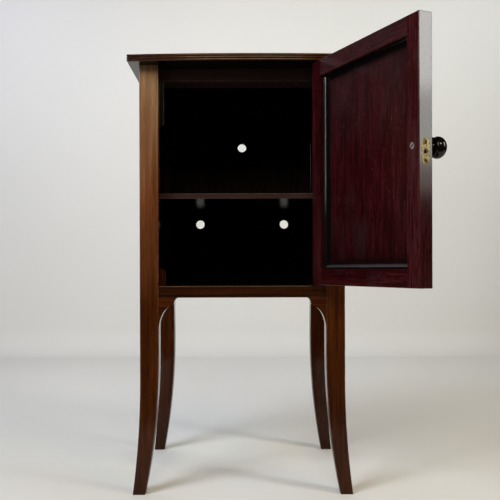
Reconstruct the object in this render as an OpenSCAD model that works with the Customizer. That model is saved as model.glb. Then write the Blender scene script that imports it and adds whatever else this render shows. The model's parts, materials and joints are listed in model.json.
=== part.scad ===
// Bedside pot cupboard in polished mahogany: a bow-fronted top with a reeded edge,
// four sabre legs, one framed door on brass butts, a shelf and a vented back.
// Millimetres. The origin is on the floor, midway between the four legs.
// +X is to the right, +Y to the back, +Z up. The door is drawn standing open.

/* [Overall] */
// Height from the floor to the top of the top board
height = 780; // [740:1:840]
// Width over the legs
body_w = 368; // [340:1:420]
// Depth over the legs
body_d = 333; // [290:1:380]
// Height of the underside of the cupboard above the floor
clear_h = 350.5; // [330:0.5:370]

/* [Top board] */
// Thickness of the top board
top_t = 12.5; // [10:0.5:18]
// How far the top stands out past the legs at each side
side_overhang = 18.5; // [10:0.5:30]
// How far the top stands out past the legs at its front corners
front_overhang = 24.5; // [15:0.5:35]
// How far the top stands out past the legs at the back
rear_overhang = 6; // [2:0.5:15]
// Rise of the bowed front edge between its corners
bow = 7; // [3:0.5:15]
// Number of reeds, one above the other, round the front and sides
reeds = 3; // [2:1:4]
// Depth of the reeds
reed_depth = 1.6; // [0.8:0.1:2]

/* [Legs] */
// Width of a leg, across the cupboard
leg_w = 34; // [30:0.5:38]
// Depth of a leg, front to back
leg_d = 32; // [32:0.5:38]
// Width of a foot
foot_w = 22; // [18:0.5:26]
// Depth of a foot
foot_d = 21; // [18:0.5:26]
// How far a foot kicks out sideways past the leg
kick_side = 12.5; // [5:0.5:20]
// How far a foot kicks out to the front or back past the leg
kick_end = 8; // [4:0.5:15]
// Height at which the outer face starts to sweep out
outer_sweep_h = 200; // [150:5:240]
// Height at which the inner face starts to sweep out
inner_sweep_h = 250; // [200:5:280]

/* [Carcass boards] */
// Thickness of a side panel
panel_t = 12; // [9:0.5:15]
// How far a side panel is set in from the outer face of the legs
panel_inset = 3; // [1:0.5:5]
// Depth of the grooves and housings that hold panels in the legs
groove = 8; // [5:0.5:10]
// Thickness of the back panel
back_t = 9; // [6:0.5:9]
// How far the back panel is set in from the back of the legs
back_inset = 6; // [3:0.5:7]
// Diameter of a vent hole in the back panel
vent_d = 19; // [12:0.5:25]
// Height of the single vent hole above the floor
vent_high_z = 670.5; // [620:0.5:700]
// Height of the pair of vent holes above the floor
vent_low_z = 500.5; // [430:0.5:505]
// Distance between the pair of vent holes
vent_spacing = 186; // [100:1:220]
// Thickness of the floor board
floor_t = 9.5; // [8:0.5:11]
// Thickness of the shelf
shelf_t = 9.5; // [8:0.5:14]
// Height of the underside of the shelf above the floor
shelf_z = 530.5; // [525:0.5:600]
// How far the shelf is set back from the front of the legs
shelf_setback = 27; // [26.5:0.5:31]
// Width and height of the bearers under the shelf
bearer = 12; // [10:0.5:14]

/* [Rails and brackets] */
// Height of the bottom front rail
rail_h = 21; // [18:0.5:26]
// Thickness of the bottom front rail
rail_t = 24; // [20:0.5:24]
// Height of the two top rails
top_rail_h = 23; // [18:0.5:28]
// Depth of the top front rail, which is laid flat
top_rail_d = 53; // [40:1:70]
// Length of a bracket along the rail
bracket_w = 35; // [33:0.5:45]
// Length of a bracket down the leg
bracket_h = 58.5; // [56:0.5:70]
// Thickness of a bracket
bracket_t = 20; // [15:0.5:20]
// Width of the hollow curve of a bracket
hollow_w = 30; // [26:0.5:32]
// Height of the hollow curve of a bracket
hollow_h = 46; // [40:0.5:50]
// Width of the upper door stop
stop_w = 8; // [5:0.5:12]
// Length of the upper door stop
stop_upper_l = 83; // [40:1:120]
// Height of the lower door stop
stop_lower_h = 32; // [20:1:60]

/* [Door] */
// Angle at which the door stands open
door_open = 114.75; // [90:0.25:170]
// Thickness of the door
door_t = 22.8; // [21:0.1:22.8]
// How far the door face is set back from the front of the legs
door_setback = 1.5; // [1:0.1:1.8]
// Gap between the door and the leg at the hinges
gap_hinge = 0.9; // [0.7:0.1:1.2]
// Gap between the door and the leg at the catch
gap_free = 1.6; // [1.6:0.1:2]
// Gap above and below the door
gap_end = 2; // [1:0.1:3]
// Width of a door stile
stile_w = 28; // [26:0.5:34]
// Height of a door rail
door_rail_h = 28; // [26:0.5:40]
// Thickness of the lip that holds the panel at the front
lip_t = 3.8; // [3:0.1:4]
// Width of that lip
lip_w = 8; // [6:0.5:10]
// Thickness of the door panel
door_panel_t = 5; // [4:0.5:5]
// Width of the quarter-round bead behind the panel
bead_w = 8.5; // [7:0.5:10]
// Height of the bead
bead_h = 7; // [5:0.5:9]
// Length of the tenons of the rails
tenon_l = 15; // [10:0.5:16]

/* [Knob] */
// Diameter of the knob
knob_d = 32.5; // [28:0.5:38]
// How far the knob stands out from the door
knob_l = 34; // [30:0.5:40]
// Height of the knob above the middle of the ball catch
knob_above_catch = 9.5; // [9:0.5:12]
// Distance from the free edge of the door to the knob
knob_inset = 16.5; // [13:0.5:18]
// Diameter of the knob screw's shank
knob_screw_d = 4.5; // [4:0.1:5]

/* [Ball catch] */
// Height of the ball catch above the floor
catch_z = 567.5; // [540:0.5:567.5]
// Length of the catch plate
plate_h = 36; // [34:0.5:42]
// Width of the catch plate
plate_w = 13.5; // [12:0.5:15]
// Thickness of the catch plate and the strike plate
plate_t = 1.2; // [0.8:0.1:1.5]
// Outer diameter of the catch barrel
barrel_d = 9.6; // [9.2:0.1:10]
// Length of the catch barrel
barrel_l = 20; // [16:0.5:22]
// Diameter of the ball
ball_d = 7; // [6:0.1:7]
// How far the ball stands out of the door edge
ball_out = 1; // [0.6:0.1:1]

/* [Hinges] */
// Length of a hinge
hinge_l = 45; // [40:1:55]
// Distance from the door's end to the middle of its hinge
hinge_inset = 55; // [50:1:80]
// Depth of a hinge leaf, back from the front of the legs
leaf_d = 18; // [16:0.5:20]
// Thickness of a hinge leaf
leaf_t = 1.5; // [1.2:0.1:1.8]
// Diameter of the hinge pin
pin_d = 3; // [2.5:0.1:3.4]
// Radius of a hinge knuckle
knuckle_r = 3.1; // [2.8:0.1:3.3]
// How far the hinge pin stands in front of the legs
pin_proud = 3.5; // [3.4:0.1:4]

/* [Screws] */
// Head diameter of the hinge and plate screws
screw_head_d = 5.6; // [5:0.1:6]
// Shank diameter of the hinge and plate screws
screw_d = 2.8; // [2:0.1:3]
// Length of the hinge and plate screws
screw_l = 13; // [10:0.5:15]
// Shank diameter of the carcass screws
wood_screw_d = 4; // [3:0.1:4.5]
// Head diameter of the carcass screws
wood_head_d = 8; // [7:0.1:9]

/* [Hidden] */

// Colours, as the finished pieces look
mahogany = "#6b3a22";
red_mahogany = "#4a1418";
stained = "#1c1010";
ebonised = "#120c0c";
brass = "#c9a95a";
steel = "#8c8a84";

// Clearances: glued joints, screws in their holes, and running fits
glue = 0.1;
screw_fit = 0.1;
run = 0.05;
part_gap = 0.2;
eps = 0.01;

// Planes of the carcass
side = body_w / 2;
front = -body_d / 2;
back = body_d / 2;
leg_in = side - leg_w;
leg_back = front + leg_d;
rear_leg_front = back - leg_d;
under_top = height - top_t;
panel_out = side - panel_inset;
panel_in = panel_out - panel_t;
back_out = back - back_inset;
back_in = back_out - back_t;
floor_top = clear_h + rail_h;
floor_under = floor_top - floor_t;
top_rail_under = under_top - top_rail_h;

// The door when shut, with its hinge pin; the front top rail stops it
door_l = -leg_in + gap_free;
door_r = leg_in - gap_hinge;
door_b = floor_top + gap_end;
door_top = under_top - gap_end;
door_face = front + door_setback;
door_inner = door_face + door_t;
stop_gap = 0.4;
stop_face = door_inner + stop_gap;
pin_x = leg_in - gap_hinge / 2;
pin_y = front - pin_proud;
frame_l = door_l + stile_w;
frame_r = door_r - stile_w;
frame_b = door_b + door_rail_h;
frame_top = door_top - door_rail_h;
panel_face = door_face + lip_t;
panel_rear = panel_face + door_panel_t;
catch_y = door_face + door_t / 2;
knob_x = door_l + knob_inset;
knob_z = catch_z + knob_above_catch;
hinge_zs = [door_b + hinge_inset, door_top - hinge_inset];

// Sweep of a leg face: 0 above its start, growing along a circular arc to its reach
sweep_steps = 14;
function sweep(z, start, reach) =
    let (r = (start * start + reach * reach) / (2 * reach))
    z >= start ? 0 : r - sqrt(r * r - (start - z) * (start - z));

// A box between pairs of planes
module block(x, y, z)
    translate([x[0], y[0], z[0]])
        cube([x[1] - x[0], y[1] - y[0], z[1] - z[0]]);

// Right-hand pieces are drawn, and left-hand ones are their mirror images
module left() mirror([1, 0, 0]) children();

// The same for front and rear
module rear() mirror([0, 1, 0]) children();

// A cylinder along X or Y, from a point
module along_x(r, l) rotate([0, 90, 0]) cylinder(h = l, r = r, $fn = 48);
module along_y(r, l) rotate([-90, 0, 0]) cylinder(h = l, r = r, $fn = 48);

// ---- Screws ----

// A slotted countersunk wood screw, head at z = 0 and point downwards
module screw(head_d, shank_d, l) {
    head_h = (head_d - shank_d) / 2;
    tip = shank_d;
    slot_w = head_d * 0.14;
    slot_depth = head_h * 0.45;
    difference() {
        union() {
            translate([0, 0, -head_h])
                cylinder(h = head_h, r1 = shank_d / 2, r2 = head_d / 2, $fn = 40);
            translate([0, 0, tip - l])
                cylinder(h = l - tip - head_h, r = shank_d / 2, $fn = 40);
            translate([0, 0, -l])
                cylinder(h = tip, r1 = shank_d / 8, r2 = shank_d / 2, $fn = 40);
        }
        block([-head_d, head_d], [-slot_w / 2, slot_w / 2], [-slot_depth, eps]);
    }
}

// The hole that a screw sits in
module screw_hole(head_d, shank_d, l) {
    head_h = (head_d - shank_d) / 2;
    translate([0, 0, -l - screw_fit])
        cylinder(h = l + screw_fit, r = shank_d / 2 + screw_fit, $fn = 40);
    translate([0, 0, -head_h])
        cylinder(h = head_h, r1 = shank_d / 2 + screw_fit,
                 r2 = head_d / 2 + screw_fit, $fn = 40);
    cylinder(h = 1, r = head_d / 2 + screw_fit, $fn = 40);
}

module small_screw() screw(screw_head_d, screw_d, screw_l);
module small_hole() screw_hole(screw_head_d, screw_d, screw_l);

// Turn a screw so that it is driven towards +X, -X or +Z
module driven_right() rotate([0, -90, 0]) children();
module driven_left() rotate([0, 90, 0]) children();
module driven_up() rotate([180, 0, 0]) children();

// ---- Top board ----

top_half = side + side_overhang;
top_corner_y = front - front_overhang;
top_back_y = back + rear_overhang;
top_depth = top_back_y - top_corner_y;
bow_r = (top_half * top_half + bow * bow) / (2 * bow);
bow_centre_y = top_corner_y - bow + bow_r;
bow_steps = 10;
bow_half_angle = asin(top_half / bow_r);
bow_reach = bow_r * cos(bow_half_angle / bow_steps);
reed_h = top_t / reeds;
reed_steps = 8;

// Outline of a reeded edge that faces +X: points from the bottom to the top
function reeded(edge) = [
    for (i = [0 : reeds - 1], j = [(i == 0 ? 0 : 1) : reed_steps])
        let (a = -90 + 180 * j / reed_steps)
        [edge - reed_depth + reed_depth * cos(a), reed_h * (i + 0.5 + sin(a) / 2)]
];

function flipped(points) = [
    for (i = [len(points) - 1 : -1 : 0]) [-points[i][0], points[i][1]]
];

// A slab wider and deeper than the top, with one reeded edge facing +X
module reeded_slab(edge)
    translate([0, 3 * top_half, 0])
        rotate([90, 0, 0])
            linear_extrude(height = 6 * top_half)
                polygon(concat([[edge - 1.3 * top_depth, 0]], reeded(edge),
                               [[edge - 1.3 * top_depth, top_t]]));

// The board between its reeded sides, under slabs that follow the bow in short steps
module top_blank()
    intersection() {
        translate([0, top_back_y, 0])
            rotate([90, 0, 0])
                linear_extrude(height = top_depth + 2 * bow)
                    polygon(concat(reeded(top_half), flipped(reeded(top_half))));
        intersection_for (i = [0 : bow_steps - 1])
            translate([0, bow_centre_y, 0])
                rotate([0, 0, 270 + bow_half_angle * ((2 * i + 1) / bow_steps - 1)])
                    reeded_slab(bow_reach);
    }

// Screws go up through the top rails into the top board
top_screw_l = top_rail_h + 8;
top_screw_x = leg_in * 2 / 3;
top_screw_ys = [stop_face + top_rail_d / 2, (rear_leg_front + back_in) / 2];

module each_top_screw()
    for (x = [-top_screw_x, top_screw_x], y = top_screw_ys)
        translate([x, y, top_rail_under]) driven_up() children();

module top_screw_holes() each_top_screw() screw_hole(wood_head_d, wood_screw_d, top_screw_l);

module top_board()
    color(mahogany)
        difference() {
            translate([0, 0, under_top]) top_blank();
            top_screw_holes();
        }

module top_screws()
    color(steel) each_top_screw() screw(wood_head_d, wood_screw_d, top_screw_l);

// ---- Legs ----

// Profile of a leg across one face, with its inner face at 0
module leg_profile(w, kick, foot) {
    taper = w + kick - foot;
    outer = [for (i = [0 : sweep_steps])
        let (z = outer_sweep_h * i / sweep_steps) [w + sweep(z, outer_sweep_h, kick), z]];
    inner = [for (i = [sweep_steps : -1 : 0])
        let (z = inner_sweep_h * i / sweep_steps) [sweep(z, inner_sweep_h, taper), z]];
    polygon(concat(outer, [[w, under_top], [0, under_top]], inner));
}

// The front right leg in its place
module leg_blank() {
    intersection() {
        translate([leg_in, front + leg_d, 0])
            rotate([90, 0, 0])
                linear_extrude(height = leg_d + kick_end + 1)
                    leg_profile(leg_w, kick_side, foot_w);
        translate([leg_in, leg_back, 0])
            mirror([0, 1, 0])
                rotate([90, 0, 90])
                    linear_extrude(height = leg_w + kick_side + 1)
                        leg_profile(leg_d, kick_end, foot_d);
    }
}

module leg_front_right()
    color(mahogany)
        difference() {
            leg_blank();
            side_panel_blank(glue);
            bottom_rail_blank(glue);
            for (z = hinge_zs) translate([0, 0, z]) {
                block([leg_in - eps, leg_in + leaf_t + run],
                      [front - eps, front + leaf_d + run],
                      [-hinge_l / 2 - run, hinge_l / 2 + run]);
                frame_leaf_screw_places() small_hole();
            }
        }

module leg_front_left()
    color(mahogany)
        difference() {
            left() leg_blank();
            left() side_panel_blank(glue);
            bottom_rail_blank(glue);
            block([-leg_in - plate_t - run, -leg_in + eps],
                  [catch_y - plate_w / 2 - run, catch_y + plate_w / 2 + run],
                  [catch_z - plate_h / 2 - run, catch_z + plate_h / 2 + run]);
            strike_screw_places() small_hole();
            strike_hole();
        }

module rear_leg_right_shape()
    difference() {
        rear() leg_blank();
        side_panel_blank(glue);
        back_panel_blank(glue);
        top_rail_rear_blank(glue);
        bottom_rail_rear_blank(glue);
    }

module leg_rear_right() color(mahogany) rear_leg_right_shape();
module leg_rear_left() color(mahogany) left() rear_leg_right_shape();

// ---- Side and back panels ----

// The right side panel with its ends housed in the legs, grown by a clearance
module side_panel_blank(grow)
    block([panel_in - grow, panel_out + grow],
          [leg_back - groove - grow, rear_leg_front + groove + grow],
          [clear_h - grow, under_top + (grow > 0 ? eps : 0)]);

module side_panel_shape()
    difference() {
        side_panel_blank(0);
        bearer_screw_places() screw_hole(wood_head_d, wood_screw_d, bearer_screw_l);
    }

module side_panel_right() color(mahogany) side_panel_shape();
module side_panel_left() color(mahogany) left() side_panel_shape();

module back_panel_blank(grow)
    block([-leg_in - groove - grow, leg_in + groove + grow],
          [back_in - grow, back_out + grow],
          [clear_h - grow, under_top + (grow > 0 ? eps : 0)]);

module back_panel()
    color(stained)
        difference() {
            back_panel_blank(0);
            for (at = [[0, vent_high_z], [-vent_spacing / 2, vent_low_z],
                       [vent_spacing / 2, vent_low_z]])
                translate([at[0], back_in - 1, at[1]])
                    along_y(vent_d / 2, back_t + 2);
        }

// ---- Floor and shelf ----

// A board between the side panels, notched round the legs
module notched_board(y0, y1, z0, z1, over) {
    difference() {
        block([-panel_in, panel_in], [y0, y1], [z0, z1]);
        for (s = [-1, 1]) {
            translate([s * (leg_in + leg_w / 2), 0, 0]) {
                block([-leg_w / 2, leg_w / 2], [front - over, leg_back], [z0 - 1, z1 + 1]);
                block([-leg_w / 2, leg_w / 2], [rear_leg_front, back + over],
                      [z0 - 1, z1 + 1]);
            }
        }
    }
}

floor_tongue = 5;
floor_tongue_h = floor_t / 2;

module floor_tongue_blank(grow)
    block([-leg_in + 2 * groove - grow, leg_in - 2 * groove + grow],
          [front + rail_t - floor_tongue - grow, front + rail_t + eps],
          [floor_under + floor_tongue_h / 2 - grow,
           floor_under + floor_tongue_h * 3 / 2 + grow]);

module floor_board()
    color(stained)
        union() {
            notched_board(front + rail_t, back_in, floor_under, floor_top, 1);
            floor_tongue_blank(0);
        }

module shelf()
    color(stained)
        notched_board(front + shelf_setback, back_in, shelf_z, shelf_z + shelf_t, 1);

// ---- Bearers ----

bearer_screw_l = bearer + panel_t * 2 / 3;
floor_bearer_h = floor_under - clear_h;
bearer_screw_ys = [for (i = [-1 : 1]) i * (body_d / 2 - leg_d) * 0.75];

// Right-hand bearer screws, driven to the right through both bearers
module bearer_screw_places()
    for (y = bearer_screw_ys, z = [clear_h + floor_bearer_h / 2, shelf_z - bearer / 2])
        translate([panel_in - bearer, y, z]) driven_right() children();

module bearer_shape(z0, z1)
    difference() {
        block([panel_in - bearer, panel_in], [leg_back, rear_leg_front], [z0, z1]);
        bearer_screw_places() screw_hole(wood_head_d, wood_screw_d, bearer_screw_l);
    }

module shelf_bearer_right() color(stained) bearer_shape(shelf_z - bearer, shelf_z);
module shelf_bearer_left() color(stained) left() bearer_shape(shelf_z - bearer, shelf_z);
module floor_bearer_right() color(stained) bearer_shape(clear_h, floor_under);
module floor_bearer_left() color(stained) left() bearer_shape(clear_h, floor_under);

module bearer_screws()
    color(steel) {
        bearer_screw_places() screw(wood_head_d, wood_screw_d, bearer_screw_l);
        left() bearer_screw_places() screw(wood_head_d, wood_screw_d, bearer_screw_l);
    }

// ---- Rails ----

// A tenon at each end of a rail, into the legs
module leg_tenons(y, z, grow)
    block([-leg_in - tenon_l - grow, leg_in + tenon_l + grow],
          [y[0] - grow, y[1] + grow], [z[0] - grow, z[1] + grow]);

module top_rail_front()
    color(stained)
        difference() {
            notched_board(stop_face, stop_face + top_rail_d, top_rail_under, under_top, 1);
            top_screw_holes();
        }

top_rail_rear_tenon_y = [rear_leg_front + 4, rear_leg_front + 10];

module top_rail_rear_blank(grow)
    leg_tenons(top_rail_rear_tenon_y, [top_rail_under + 4, under_top - 6], grow);

module top_rail_rear()
    color(stained)
        difference() {
            union() {
                block([-leg_in, leg_in], [rear_leg_front, back_in],
                      [top_rail_under, under_top]);
                top_rail_rear_blank(0);
            }
            top_screw_holes();
        }

module bottom_rail_blank(grow)
    leg_tenons([front + rail_t / 3, front + rail_t * 2 / 3],
               [clear_h + 4, floor_top - 4], grow);

module bottom_rail_front()
    color(mahogany)
        difference() {
            union() {
                block([-leg_in, leg_in], [front, front + rail_t], [clear_h, floor_top]);
                bottom_rail_blank(0);
            }
            floor_tongue_blank(glue);
        }

module bottom_rail_rear_blank(grow)
    leg_tenons(top_rail_rear_tenon_y, [clear_h + 2, floor_under - 2], grow);

module bottom_rail_rear()
    color(mahogany)
        union() {
            block([-leg_in, leg_in], [rear_leg_front, back_in], [clear_h, floor_under]);
            bottom_rail_rear_blank(0);
        }

// ---- Brackets ----

bracket_steps = 16;
hollow_base = clear_h - bracket_h;
hollow_end = 85;
cusp = [hollow_w * (1 - cos(hollow_end)), hollow_base + hollow_h * sin(hollow_end)];

// Outline from the leg: up the hollow, in at the cusp and round a small cove to the rail
module bracket_profile() {
    hollow = [for (i = [0 : bracket_steps])
        let (a = hollow_end * i / bracket_steps)
        [hollow_w * (1 - cos(a)), hollow_base + hollow_h * sin(a)]];
    cove = [for (i = [1 : bracket_steps / 2])
        let (a = 180 * i / bracket_steps)
        [cusp[0] + (bracket_w - cusp[0]) * (1 - cos(a)),
         cusp[1] + (clear_h - cusp[1]) * sin(a)]];
    polygon(concat(hollow, cove, [[0, clear_h]]));
}

module bracket_shape()
    translate([leg_in, front + bracket_t, 0])
        mirror([1, 0, 0])
            rotate([90, 0, 0])
                linear_extrude(height = bracket_t) bracket_profile();

module bracket_right() color(mahogany) bracket_shape();
module bracket_left() color(mahogany) left() bracket_shape();

// ---- Door stops, on the inner face of the left front leg ----

// A block against the leg whose free end is cut at a slant
module stop_block(w, z_fixed, z_free, slant) {
    translate([-leg_in, leg_back, 0])
        rotate([90, 0, 0])
            linear_extrude(height = leg_back - stop_face)
                polygon([[0, z_fixed], [w, z_fixed], [w, z_free - slant], [0, z_free]]);
}

stop_slant = stop_w * 0.6;

module door_stop_upper()
    color(stained)
        stop_block(stop_w, top_rail_under, top_rail_under - stop_upper_l, -stop_slant);

module door_stop_lower()
    color(mahogany)
        stop_block(stop_w + 2, floor_top, floor_top + stop_lower_h, stop_slant);

// ---- Ball catch: strike plate on the leg ----

plate_screw_gap = plate_h / 2 - 4.6;
strike_d = ball_d - 1;

module strike_screw_places()
    for (s = [-1, 1])
        translate([-leg_in, catch_y, catch_z + s * plate_screw_gap])
            driven_left() children();

module strike_hole()
    translate([-leg_in - 4, catch_y, catch_z]) along_x(strike_d / 2, 5);

module strike_plate()
    color(brass)
        difference() {
            block([-leg_in - plate_t, -leg_in],
                  [catch_y - plate_w / 2, catch_y + plate_w / 2],
                  [catch_z - plate_h / 2, catch_z + plate_h / 2]);
            strike_screw_places() small_hole();
            strike_hole();
        }

module strike_screws() color(brass) strike_screw_places() small_screw();

// ---- Hinges ----

knuckles = 5;
knuckle_l = hinge_l / knuckles;
leaf_screw_y = front + leaf_d * 0.62;
leaf_screw_zs = [-hinge_l / 3, 0, hinge_l / 3];

module frame_leaf_screw_places()
    for (z = leaf_screw_zs)
        translate([leg_in, leaf_screw_y, z]) driven_right() children();

module door_leaf_screw_places()
    for (z = leaf_screw_zs)
        translate([door_r, leaf_screw_y, z]) driven_left() children();

// A leaf with its knuckles; first is the number of its lowest knuckle, 0 or 1
module leaf(x, first) {
    other = 1 - first;
    reach = knuckle_r + part_gap;
    difference() {
        union() {
            block(x, [pin_y, front + leaf_d], [-hinge_l / 2, hinge_l / 2]);
            for (k = [first : 2 : knuckles - 1])
                translate([pin_x, pin_y, -hinge_l / 2 + k * knuckle_l])
                    cylinder(h = knuckle_l, r = knuckle_r, $fn = 48);
        }
        for (k = [other : 2 : knuckles - 1])
            translate([pin_x, pin_y, -hinge_l / 2 + k * knuckle_l])
                block([-2 * reach, 2 * reach], [-2 * reach, reach],
                      [-part_gap / 2, knuckle_l + part_gap / 2]);
        translate([pin_x, pin_y, -hinge_l])
            cylinder(h = 2 * hinge_l, r = pin_d / 2 + run, $fn = 48);
    }
}

module frame_leaf()
    color(brass)
        difference() {
            leaf([leg_in, leg_in + leaf_t], 0);
            frame_leaf_screw_places() small_hole();
        }

module door_leaf()
    color(brass)
        difference() {
            leaf([door_r - leaf_t, door_r], 1);
            door_leaf_screw_places() small_hole();
        }

// The pin with a small turned cap at each end
module hinge_pin() {
    cap_r = knuckle_r - 0.4;
    color(brass)
        translate([pin_x, pin_y, 0]) {
            cylinder(h = hinge_l + 2 * part_gap, r = pin_d / 2, center = true, $fn = 48);
            for (s = [-1, 1])
                translate([0, 0, s * (hinge_l / 2 + part_gap + 0.6)])
                    cylinder(h = 1.2, r = cap_r, center = true, $fn = 48);
        }
}

module hinge_lower_frame_leaf() translate([0, 0, hinge_zs[0]]) frame_leaf();
module hinge_upper_frame_leaf() translate([0, 0, hinge_zs[1]]) frame_leaf();
module hinge_lower_door_leaf() translate([0, 0, hinge_zs[0]]) door_leaf();
module hinge_upper_door_leaf() translate([0, 0, hinge_zs[1]]) door_leaf();
module hinge_lower_pin() translate([0, 0, hinge_zs[0]]) hinge_pin();
module hinge_upper_pin() translate([0, 0, hinge_zs[1]]) hinge_pin();

module hinge_frame_screws()
    color(brass)
        for (z = hinge_zs) translate([0, 0, z]) frame_leaf_screw_places() small_screw();

module hinge_door_screws()
    color(brass)
        for (z = hinge_zs) translate([0, 0, z]) door_leaf_screw_places() small_screw();

// ---- Door frame, drawn shut ----

tenon_y = [door_face + door_t / 3, door_face + door_t * 2 / 3];
tenon_margin = 6;

module door_tenons(z, grow)
    block([frame_l - tenon_l - grow, frame_r + tenon_l + grow],
          [tenon_y[0] - grow, tenon_y[1] + grow],
          [z[0] + tenon_margin - grow, z[1] - tenon_margin + grow]);

module stile_hinge()
    color(red_mahogany)
        difference() {
            union() {
                block([frame_r, door_r], [door_face, door_inner], [door_b, door_top]);
                block([frame_r - lip_w, frame_r + eps], [door_face, panel_face],
                      [frame_b, frame_top]);
            }
            door_tenons([door_b, frame_b], glue);
            door_tenons([frame_top, door_top], glue);
            for (z = hinge_zs) translate([0, 0, z]) {
                block([door_r - leaf_t - run, door_r + eps],
                      [door_face - eps, front + leaf_d + run],
                      [-hinge_l / 2 - run, hinge_l / 2 + run]);
                door_leaf_screw_places() small_hole();
            }
            bead_pin_places() pin_hole();
        }

module stile_free()
    color(red_mahogany)
        difference() {
            union() {
                block([door_l, frame_l], [door_face, door_inner], [door_b, door_top]);
                block([frame_l - eps, frame_l + lip_w], [door_face, panel_face],
                      [frame_b, frame_top]);
            }
            door_tenons([door_b, frame_b], glue);
            door_tenons([frame_top, door_top], glue);
            block([door_l - eps, door_l + plate_t + run],
                  [catch_y - plate_w / 2 - run, catch_y + plate_w / 2 + run],
                  [catch_z - plate_h / 2 - run, catch_z + plate_h / 2 + run]);
            translate([door_l, catch_y, catch_z])
                along_x(barrel_d / 2 + glue, barrel_l + part_gap);
            catch_screw_places() small_hole();
            knob_screw_hole();
            bead_pin_places() pin_hole();
        }

// A rail between the stiles, with its lip on the side of the panel
module door_rail(z, lip_z)
    difference() {
        union() {
            block([frame_l, frame_r], [door_face, door_inner], z);
            block([frame_l + lip_w, frame_r - lip_w], [door_face, panel_face], lip_z);
            door_tenons(z, 0);
        }
        bead_pin_places() pin_hole();
    }

module door_rail_top()
    color(red_mahogany)
        door_rail([frame_top, door_top], [frame_top - lip_w, frame_top + eps]);

module door_rail_bottom()
    color(red_mahogany)
        door_rail([door_b, frame_b], [frame_b - eps, frame_b + lip_w]);

module door_panel()
    color(red_mahogany)
        block([frame_l + glue, frame_r - glue], [panel_face, panel_rear],
              [frame_b + glue, frame_top - glue]);

// ---- Beads that hold the panel ----

bead_steps = 10;

// Quarter-round in the angle between the frame, at u = 0, and the panel, at v = 0
module bead_profile()
    polygon(concat([[0, 0]], [for (i = [0 : bead_steps])
        let (a = 90 * i / bead_steps) [bead_w * cos(a), bead_h * sin(a)]]));

// A bead along X under the top rail, mitred at both ends
module bead_along(width) {
    intersection() {
        translate([-width / 2, 0, 0])
            rotate([90, 0, 90])
                linear_extrude(height = width)
                    rotate(-90) bead_profile();
        translate([0, bead_h + 1, 0])
            rotate([90, 0, 0])
                linear_extrude(height = bead_h + 2)
                    polygon([[-width / 2, 0], [width / 2, 0],
                             [width / 2 - bead_w, -bead_w], [bead_w - width / 2, -bead_w]]);
    }
}

frame_mid_x = (frame_l + frame_r) / 2;
frame_mid_z = (frame_b + frame_top) / 2;
frame_w = frame_r - frame_l;
frame_h = frame_top - frame_b;

// Each side of the frame in turn: its turn about the frame's middle, its length,
// and how far it lies from that middle
bead_sides = [[0, frame_w, frame_h / 2], [180, frame_w, frame_h / 2],
              [90, frame_h, frame_w / 2], [270, frame_h, frame_w / 2]];

module bead_side(i)
    translate([frame_mid_x, panel_rear, frame_mid_z])
        rotate([0, bead_sides[i][0], 0])
            translate([0, 0, bead_sides[i][2]])
                children();

module bead(i)
    color(ebonised)
        difference() {
            bead_side(i) bead_along(bead_sides[i][1]);
            bead_pin_places() pin_hole();
        }

module bead_top() bead(0);
module bead_bottom() bead(1);
module bead_hinge() bead(2);
module bead_free() bead(3);

// Panel pins through the beads into the frame
pin_shank_d = 1.4;
pin_depth = 6;
bead_pin_v = bead_h * 0.42;
bead_pin_u = bead_w * sqrt(1 - 0.42 * 0.42);

module bead_pin_places()
    for (i = [0 : 3], t = i < 2 ? [-0.29, 0.29] : [-0.41, -0.18, 0.18, 0.41])
        bead_side(i)
            translate([t * bead_sides[i][1], bead_pin_v, -bead_pin_u - 0.2])
                children();

module pin_hole()
    cylinder(h = bead_pin_u + pin_depth + 0.4, r = pin_shank_d / 2 + screw_fit, $fn = 24);

module bead_pins()
    color(steel)
        bead_pin_places()
            cylinder(h = bead_pin_u + pin_depth, r = pin_shank_d / 2, $fn = 24);

// ---- Knob ----

knob_r = knob_d / 2;
knob_head_d = 10;
knob_bore_l = 15;
knob_screw_l = door_t + knob_bore_l - 1;
bulb_l = knob_l * 0.34;
bulb_mid = knob_l - bulb_l;
bulb_steps = 20;

// Turned profile: base disc, hollow neck, ring, and a flattened ball with a sunk face
module knob_profile() {
    ring_r = knob_r * 0.88;
    face_r = knob_r * 0.42;
    bulb = [for (i = [0 : bulb_steps])
        let (a = -41 + 105 * i / bulb_steps) [knob_r * cos(a), bulb_mid + bulb_l * sin(a)]];
    polygon(concat(
        [[0, 0], [knob_r * 0.68, 0], [knob_r * 0.68, 1.6], [knob_r * 0.6, 2.4],
         [knob_r * 0.46, 5], [knob_r * 0.44, 7.5], [knob_r * 0.52, 9.5],
         [ring_r - 1, bulb_mid - bulb_l + 0.1], [ring_r, bulb_mid - bulb_l + 1],
         [ring_r, bulb_mid - bulb_l + 1.8], [ring_r - 0.8, bulb_mid - bulb_l + 2.6],
         [knob_r * 0.72, bulb_mid - bulb_l * 0.72]],
        bulb,
        [[face_r, knob_l - 1.4], [face_r - 1.2, knob_l - 0.9], [face_r - 3.2, knob_l - 0.2],
         [0, knob_l]]));
}

module knob_screw_place()
    translate([knob_x, door_inner, knob_z]) rotate([-90, 0, 0]) children();

module knob_screw_hole()
    knob_screw_place() screw_hole(knob_head_d, knob_screw_d, knob_screw_l);

module knob()
    color(ebonised)
        difference() {
            translate([knob_x, door_face, knob_z])
                rotate([90, 0, 0])
                    rotate_extrude($fn = 96) knob_profile();
            knob_screw_hole();
        }

module knob_screw()
    color(steel) knob_screw_place() screw(knob_head_d, knob_screw_d, knob_screw_l);

// ---- Ball catch in the free edge of the door ----

ball_r = ball_d / 2;
ball_deep = ball_r - ball_out;
recess = 0.9;
barrel_bore_r = ball_r + run;
barrel_end = 1;

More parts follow.
